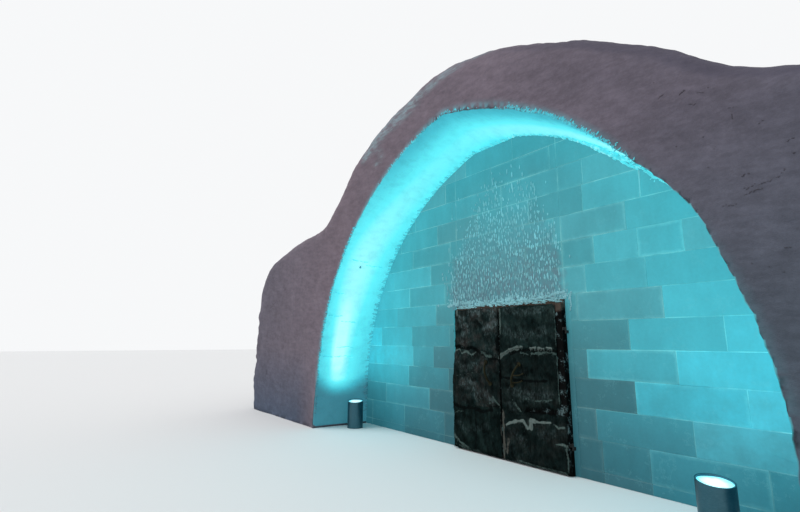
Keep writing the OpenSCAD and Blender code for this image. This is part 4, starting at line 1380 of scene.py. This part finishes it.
hideMarks = {       # what changes the fur's look: half width, strength, and points across and up
    "frost": [
        (0.034, 0.95, [(0.14, 1.42), (0.25, 1.48), (0.35, 1.53), (0.55, 1.575)]),
        (0.016, 1.1, [(0.20, 1.45), (0.33, 1.54)]),
        (0.020, 0.55, [(0.54, 1.50), (0.66, 1.475)]),
        (0.015, 1.3, [(0.70, 1.565), (0.79, 1.575)]),
        (0.014, 1.3, [(0.83, 1.57), (0.92, 1.56)]),
        (0.014, 1.2, [(0.96, 1.575), (1.04, 1.565)]),
        (0.026, 0.62, [(0.73, 1.49), (0.95, 1.51), (1.12, 1.49)]),
        (0.022, 1.35, [(0.24, 0.49), (0.31, 0.53), (0.42, 0.565), (0.53, 0.585), (0.58, 0.52),
            (0.60, 0.49)]),
        (0.030, 1.35, [(0.66, 0.50), (0.66, 0.60), (0.72, 0.60)]),
        (0.017, 1.35, [(0.70, 0.60), (0.80, 0.595), (0.97, 0.615)]),
        (0.018, 0.80, [(1.02, 0.60), (1.08, 0.56), (1.16, 0.58)]),
        (0.016, 0.80, [(1.03, 0.36), (1.12, 0.37), (1.19, 0.36)]),
        (0.020, 0.70, [(1.17, 0.32), (1.19, 0.18), (1.19, 0.03)]),
        (0.026, 0.50, [(0.36, 0.84), (0.45, 0.75), (0.52, 0.68)]),
        (0.020, 0.45, [(0.60, 0.88), (0.80, 0.86), (1.00, 0.90)]),
        (0.022, 0.75, [(0.18, 2.12), (0.19, 1.95), (0.18, 1.76)]),
        (0.012, 0.60, [(1.105, 2.10), (1.11, 1.85), (1.105, 1.62)]),
        (0.030, 0.55, [(-0.18, 1.49), (-0.10, 1.44), (0.00, 1.42)]),
        (0.018, 0.40, [(-0.75, 1.50), (-0.62, 1.52), (-0.45, 1.49)]),
        (0.016, 0.95, [(-0.71, 2.14), (-0.70, 2.07)]),
        (0.024, 0.45, [(-0.76, 1.92), (-0.72, 1.80), (-0.74, 1.68)]),
        (0.050, 0.36, [(0.00, 2.08), (0.06, 1.95), (0.02, 1.86)]),
        (0.012, 0.50, [(-0.74, 1.11), (-0.55, 1.15), (-0.30, 1.18)]),
        (0.040, 0.36, [(-0.30, 0.84), (-0.15, 0.74), (0.00, 0.80)]),
        (0.016, 0.60, [(-0.80, 0.53), (-0.70, 0.57), (-0.60, 0.58)]),
        (0.030, 0.70, [(-0.80, 0.20), (-0.68, 0.11), (-0.52, 0.05)]),
        (0.020, 0.45, [(-0.80, 0.08), (-0.60, 0.04), (-0.20, 0.035)]),
        (0.022, 0.40, [(0.165, 0.64), (0.16, 0.42), (0.165, 0.10)]),
        (0.009, 0.75, [(1.108, 1.46), (1.11, 1.20), (1.108, 0.86)]),
        (0.014, 0.75, [(0.40, 0.05), (0.80, 0.032), (1.19, 0.032)]),
        (0.018, 0.75, [(-0.78, 1.49), (-0.66, 1.53), (-0.60, 1.46), (-0.50, 1.50), (-0.40, 1.44),
            (-0.30, 1.49)]),
        (0.022, 0.60, [(0.00, 0.86), (0.10, 0.76), (0.13, 0.70)]),
    ],
    "skin": [
        (0.036, 1.0, [(0.175, 0.66), (0.165, 0.40), (0.175, 0.20), (0.165, 0.03)]),
        (0.030, 0.6, [(0.26, 0.30), (0.24, 0.12)]),
    ],
    "shade": [
        (0.030, 1.0, [(-0.80, 1.56), (-0.66, 1.58), (-0.52, 1.53), (-0.40, 1.56), (-0.24, 1.50)]),
        (0.022, 0.9, [(-0.24, 1.48), (-0.05, 1.41), (0.14, 1.39)]),
        (0.022, 0.9, [(0.36, 1.48), (0.56, 1.54), (0.70, 1.535), (1.11, 1.535)]),
        (0.030, 1.0, [(-0.80, 0.66), (-0.60, 0.63), (-0.38, 0.65), (-0.20, 0.62), (-0.05, 0.66),
            (0.13, 0.66)]),
        (0.045, 1.0, [(0.62, 0.74), (0.85, 0.74), (1.19, 0.77)]),
        (0.022, 0.9, [(0.16, 1.15), (0.40, 1.12), (0.70, 1.12), (1.10, 1.15)]),
        (0.016, 0.7, [(-0.35, 0.62), (-0.34, 0.30), (-0.37, 0.05)]),
        (0.050, 0.7, [(-0.30, 1.98), (-0.22, 1.90)]),
        (0.040, 0.8, [(0.13, 1.72), (0.11, 1.55)]),
    ],
    # paler patches of fur, partly a painted sheen
    "pale": [
        (0.090, 0.8, [(-0.62, 1.98), (-0.50, 1.85), (-0.62, 1.72)]),
        (0.100, 1.0, [(0.02, 2.08), (0.05, 1.92), (-0.06, 1.84)]),
        (0.070, 0.7, [(-0.42, 2.10), (-0.20, 2.08)]),
        (0.080, 0.7, [(-0.70, 1.28), (-0.52, 1.22), (-0.30, 1.30)]),
        (0.090, 0.9, [(-0.62, 1.02), (-0.40, 0.98), (-0.30, 0.85)]),
        (0.070, 0.9, [(-0.14, 0.88), (0.00, 0.78)]),
        (0.060, 0.6, [(0.30, 2.10), (0.60, 2.06), (0.95, 2.09)]),
        (0.070, 0.5, [(0.30, 1.80), (0.55, 1.72), (0.90, 1.80)]),
        (0.090, 0.8, [(0.35, 0.96), (0.60, 0.92), (0.95, 0.94)]),
        (0.060, 0.7, [(0.28, 0.78), (0.45, 0.74)]),
        (0.060, 0.5, [(0.50, 1.36), (0.56, 1.26)]),
        (0.080, 0.5, [(0.35, 0.40), (0.55, 0.30)]),
        (0.070, 0.5, [(0.80, 0.45), (1.02, 0.48)]),
        (0.060, 0.4, [(-0.70, 0.40), (-0.55, 0.30), (-0.10, 0.42)]),
    ],
}


def alongPoints(points, place):
    # the height of a line of points at a place
    for (fromX, fromZ), (toX, toZ) in zip(points, points[1:]):
        if place <= toX:
            return fromZ + (toZ - fromZ) * max(0.0, place - fromX) / (toX - fromX)
    return points[-1][1]


def paintedLevels(x, z):
    # the looks of the fur at a place, from the strokes of hideMarks
    levels = dict.fromkeys(hideMarks, 0.0)
    spot = Vector((x, z))
    for kind, strokes in hideMarks.items():
        for width, strength, points in strokes:
            if abs(x - points[0][0]) > 0.8 or abs(z - points[0][1]) > 0.7:
                continue
            away = strokeDistance(spot, points)
            if away < width * 2:
                wavy = width * (0.85 + 0.7 * noise.noise(Vector((x * 14, z * 14, width * 90))))
                levels[kind] = max(levels[kind], strength * (1 - smooth(away, wavy * 0.55, wavy * 1.35)))
    return levels


def hideSpot(node, u, v, shape):
    # a point of the hide's outer face: u across from the left, v up from the foot
    low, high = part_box(node)
    look = hides[node]
    gap = shape["sideGap"]
    inset = alongPoints(outerEdge, low.z + v * (high.z - low.z)) if node.startswith("left_") else gap
    x = low.x + inset + u * (high.x - low.x - inset - gap)
    foot = alongPoints(look["hem"], x) if look["hem"] else low.z
    wide, tall = high.x - low.x, high.z - foot
    z = foot + v * tall
    salt = len(node) * 3.7 + low.x
    toSide, toTop, toFoot = min(u, 1 - u) * wide, (1 - v) * tall, v * tall
    rough = 0.5 + 0.5 * noise.noise(Vector((x * 7, z * 7, salt)))
    rough += 0.4 * noise.noise(Vector((x * 21, z * 21, salt)))
    x += (0.5 - u) * 2 * shape["ragged"] * rough * (1 - smooth(toSide, 0.0, 0.09))
    z += (0.5 - v) * 2 * shape["ragged"] * rough * (1 - smooth(min(toTop, toFoot), 0.0, 0.09))
    cut = (high.x - x) + (high.z - z)
    if cut < look["corner"]:
        short = (look["corner"] - cut) / 2
        x, z = x - short, z - short
    folds = 0.5 + 0.5 * noise.noise(Vector((x * 3.6, z * 2.2, salt + 5)))
    folds += 0.35 * noise.noise(Vector((x * 11, z * 8, salt + 9)))
    full = high.y - low.y - shape["clear"] - shape["folds"] * folds
    inner = min(toSide, toTop) if look["hem"] else min(toSide, toTop, toFoot)
    depth = shape["edgeDepth"] + (full - shape["edgeDepth"]) * smooth(inner, 0.0, shape["edgeRound"])
    levels = paintedLevels(x, z)
    return Vector((x, high.y - depth - 0.003 * min(1.0, levels["frost"]), z)), levels


def hideBmesh():
    bm = bmesh.new()
    return bm, {key: bm.verts.layers.float.new(key) for key in (*hideMarks, "warm", "tone")}


def makeHide(node, body, shape, material, rng):
    low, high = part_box(node)
    look = hides[node]
    bm, layers = hideBmesh()
    bmesh.ops.create_grid(bm, x_segments=shape["columns"], y_segments=shape["rows"], size=0.5)
    for vert in bm.verts:
        vert.co, levels = hideSpot(node, vert.co.x + 0.5, vert.co.y + 0.5, shape)
        for key, level in {**levels, "warm": look["warm"], "tone": look["tone"]}.items():
            vert[layers[key]] = level
    bmesh.ops.recalc_face_normals(bm, faces=bm.faces[:])
    if sum(face.normal.y for face in bm.faces) > 0:
        bmesh.ops.reverse_faces(bm, faces=bm.faces[:])
    area = sum(face.calc_area() for face in bm.faces)
    bmesh.ops.solidify(bm, geom=bm.faces[:], thickness=shape["thickness"])
    sheet = newPiece(node.replace("_hide", "_pelt"), bm, body, [material])
    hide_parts(node)

    bm, layers = hideBmesh()
    fromX, toX = low.x - shape["furReach"][0], meetingLine - shape["furGap"]
    if body == rightLeaf:
        fromX, toX = meetingLine + shape["furGap"], high.x + shape["furReach"][1]
    for count in range(shape["tufts"] + shape["edgeTufts"]):
        u, v = rng.random(), rng.random()
        onEdge = count >= shape["tufts"]
        if onEdge:
            border = rng.choice(("foot", "foot", "foot", "left", "right", "top"))
            near = abs(rng.gauss(0, 0.02))
            borders = {"foot": (u, near), "top": (u, 1 - near), "left": (near, v), "right": (1 - near, v)}
            u, v = (min(1.0, share) for share in borders[border])
        root, levels = hideSpot(node, u, v, shape)
        length = rng.uniform(*shape["tuftLength"]) * (1.25 if onEdge and v < 0.1 else 1.0)
        lean = rng.gauss(0, 0.35) + (0.5 - u) * -0.25 * (2 if onEdge else 0)
        way = Vector((lean, -rng.uniform(0.04, 0.22), -1.0)).normalized()
        if onEdge and v > 0.9:
            way.z *= rng.choice((-0.4, 1))
        if way.z < 0:
            length = min(length, max(0.01, (root.z - shape["furFoot"]) / max(0.2, -way.z)))
        if not fromX <= (root + way * length).x <= toX:
            way.x *= -1
            if not fromX <= (root + way * length).x <= toX:
                continue
        turn = way.to_track_quat("Z", "Y").to_matrix().to_4x4()
        place = Matrix.Translation(root + way * length * 0.5 + Vector((0, 0.001, 0))) @ turn
        wide = shape["tuftWidth"] * rng.uniform(0.7, 1.4)
        made = bmesh.ops.create_cone(
            bm, cap_ends=False, segments=3, radius1=wide, radius2=0, depth=length, matrix=place)["verts"]
        levels["frost"] = levels["frost"] * rng.uniform(0.5, 1.2) + (0.35 if rng.random() < 0.03 else 0.0)
        levels["pale"] *= rng.uniform(0.3, 1.4)
        levels |= {"warm": look["warm"] * rng.uniform(0.3, 1.3), "tone": look["tone"] * rng.uniform(0.7, 1.2)}
        for vert in made:
            for key, level in levels.items():
                vert[layers[key]] = level
    fur = newPiece(node.replace("_hide", "_fur"), bm, body, [material], smoothShade=False)
    print(sheet.name, "and fur:", len(sheet.data.polygons) + len(fur.data.polygons), "faces")


plankShape = {"count": 5, "gap": 0.004, "edge": 0.004}


def makePlanks(node, body, shape, material):
    low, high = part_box(node)
    bm = bmesh.new()
    wide = (high.x - low.x) / shape["count"]
    for index in range(shape["count"]):
        left = low.x + wide * index + (shape["gap"] / 2 if index else 0)
        right = low.x + wide * (index + 1) - (shape["gap"] / 2 if index < shape["count"] - 1 else 0)
        made = addBox(bm, (left, low.y, low.z), (right, high.y, high.z))
        edges = list({edge for vert in made for edge in vert.link_edges})
        bmesh.ops.bevel(
            bm, geom=edges, offset=shape["edge"], affect="EDGES", segments=2, profile=0.5, material=-1)
    planks = newPiece(node.replace("boards", "planks"), bm, body, [material], smoothShade=False)
    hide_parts(node)
    return planks


woodFinish = {
    "black": (0.0015, 0.0018, 0.0018),
    "darkBrown": (0.0045, 0.0045, 0.0045),
    "paleDark": (0.040, 0.030, 0.025),
    "pale": (0.090, 0.068, 0.055),
    "frost": (0.14, 0.21, 0.22),
    "paleFrom": 2.05,            # above this height the wood is bare and pale
    "rime": (0.052, 0.300, 0.350),      # frost that hides the boards' outer edge
    "rimeReach": (0.036, 0.028),        # metres from that edge between which it begins
    "rimeHeight": (1.42, 1.50),
}


def makeWoodMaterial(name, look, frostAmount):
    s = Finish(name, roughness=0.8, Specular_IOR_Level=0.03)
    x, _, high = s.axes()
    low = s.shared(woodEffect, Dark=look["black"], Light=look["darkBrown"])
    bare = s.shared(woodEffect, Dark=look["paleDark"], Light=look["pale"])
    high = s.ragged(high, 0.04, 6.0, 3)
    colour = s.blend(s.ramp(high, look["paleFrom"], look["paleFrom"] + 0.05), low["Colour"], bare["Colour"])
    frost = s.shared(frostEffect, Amount=s.ramp(s.noise(2.6, 2), 0.4, 0.7, frostAmount * 0.4, frostAmount))
    colour = s.blend(s.times(frost["Mask"], 0.8), colour, look["frost"])
    rime = s.ramp(x, *(doorLeft + reach for reach in look["rimeReach"]))
    colour = s.blend(s.times(rime, s.ramp(high, *look["rimeHeight"])), colour, look["rime"])
    return s.finish(colour, s.bump(low["Height"], 0.5, 0.004))


meetingLine = (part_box("left_leaf_boards")[1].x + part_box("right_leaf_boards")[0].x) / 2
hideMaterial = makeHideMaterial(hideFinish)
boardMaterial = makeWoodMaterial("leafBoards", woodFinish, 0.42)
rng = random.Random(hideShape["seed"])
for side, body in (("left", leftLeaf), ("right", rightLeaf)):
    planks = makePlanks(side + "_leaf_boards", body, plankShape, boardMaterial)
    for level in ("upper", "middle", "lower"):
        makeHide(side + "_" + level + "_hide", body, hideShape, hideMaterial, rng)
print("doors made")


# Steel, lens, iron and antler for the frame's own nodes
frameFinish = {       # two colours that each mixes, and those of the lens and its light from rim to heart
    "steel": ((0.036, 0.100, 0.130), (0.068, 0.160, 0.200)),
    "stain": (0.085, 0.180, 0.215),
    "lens": ((0.30, 0.80, 0.90), (0.70, 0.90, 0.90)),
    "lensLight": ((0.14, 0.60, 0.74), (0.62, 0.78, 0.80)),
    "iron": ((0.006, 0.006, 0.006), (0.014, 0.010, 0.008)),
    "antler": ((0.010, 0.0085, 0.0036), (0.026, 0.0225, 0.0095)),
}


def makeSteelMaterial(look):
    s = Finish("lampSteel", roughness=0.35, Metallic=1.0)
    brushed = s.noise(40, 4, 0.6, s.stretched((1.0, 1.0, 14.0)))
    colour = s.blend(s.ramp(brushed, 0.3, 0.7), *look["steel"])
    stain = s.ramp(s.noise(9.0, 4), 0.5, 0.7)
    colour = s.blend(s.times(stain, 0.4), colour, look["stain"])
    return s.finish(colour, s.bump(brushed, 0.1, 0.001), s.ramp(brushed, 0.2, 0.8, 0.26, 0.45))


def makeLensMaterial(look):
    s = Finish("litLens", roughness=0.3)
    boxes = [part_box(side + "_lamp_lens") for side in ("left", "right")]
    reach = (boxes[0][1].x - boxes[0][0].x) / 2
    heart = s.maths("MAXIMUM", *(s.nearness((low + high) / 2, reach) for low, high in boxes))
    heart = s.ramp(s.ragged(heart, 0.12, 18, 2), 0.05, 0.5)
    return s.finish(s.blend(heart, *look["lens"]), glow=s.blend(heart, *look["lensLight"]))


def makeIronMaterial(look):
    s = Finish("blackIron", roughness=0.7)
    rust = s.ramp(s.noise(18, 4), 0.4, 0.7)
    return s.finish(s.blend(rust, *look["iron"]), s.bump(rust, 0.2, 0.001))


def makeAntlerMaterial(look):
    s = Finish("antler", roughness=0.75, Specular_IOR_Level=0.1)
    grooves = s.noise(14, 4, 0.6, s.stretched((3.0, 3.0, 0.5)))
    colour = s.blend(s.ramp(grooves, 0.35, 0.7), *look["antler"])
    return s.finish(colour, s.bump(grooves, 0.5, 0.003))


slotMaterials = {
    "timber": makeWoodMaterial("frameTimber", woodFinish, 0.42),
    "antler": makeAntlerMaterial(frameFinish),
    "iron": makeIronMaterial(frameFinish),
    "steel": makeSteelMaterial(frameFinish),
    "lens": makeLensMaterial(frameFinish),
}
nodeSlots = {part["node"]: part["material_slot"] for part in frame["record"]["subparts"]}
for node, piece in frame["nodes"].items():
    if nodeSlots[node] in slotMaterials:
        for place in piece.material_slots:
            place.material = slotMaterials[nodeSlots[node]]
print("frame nodes finished")
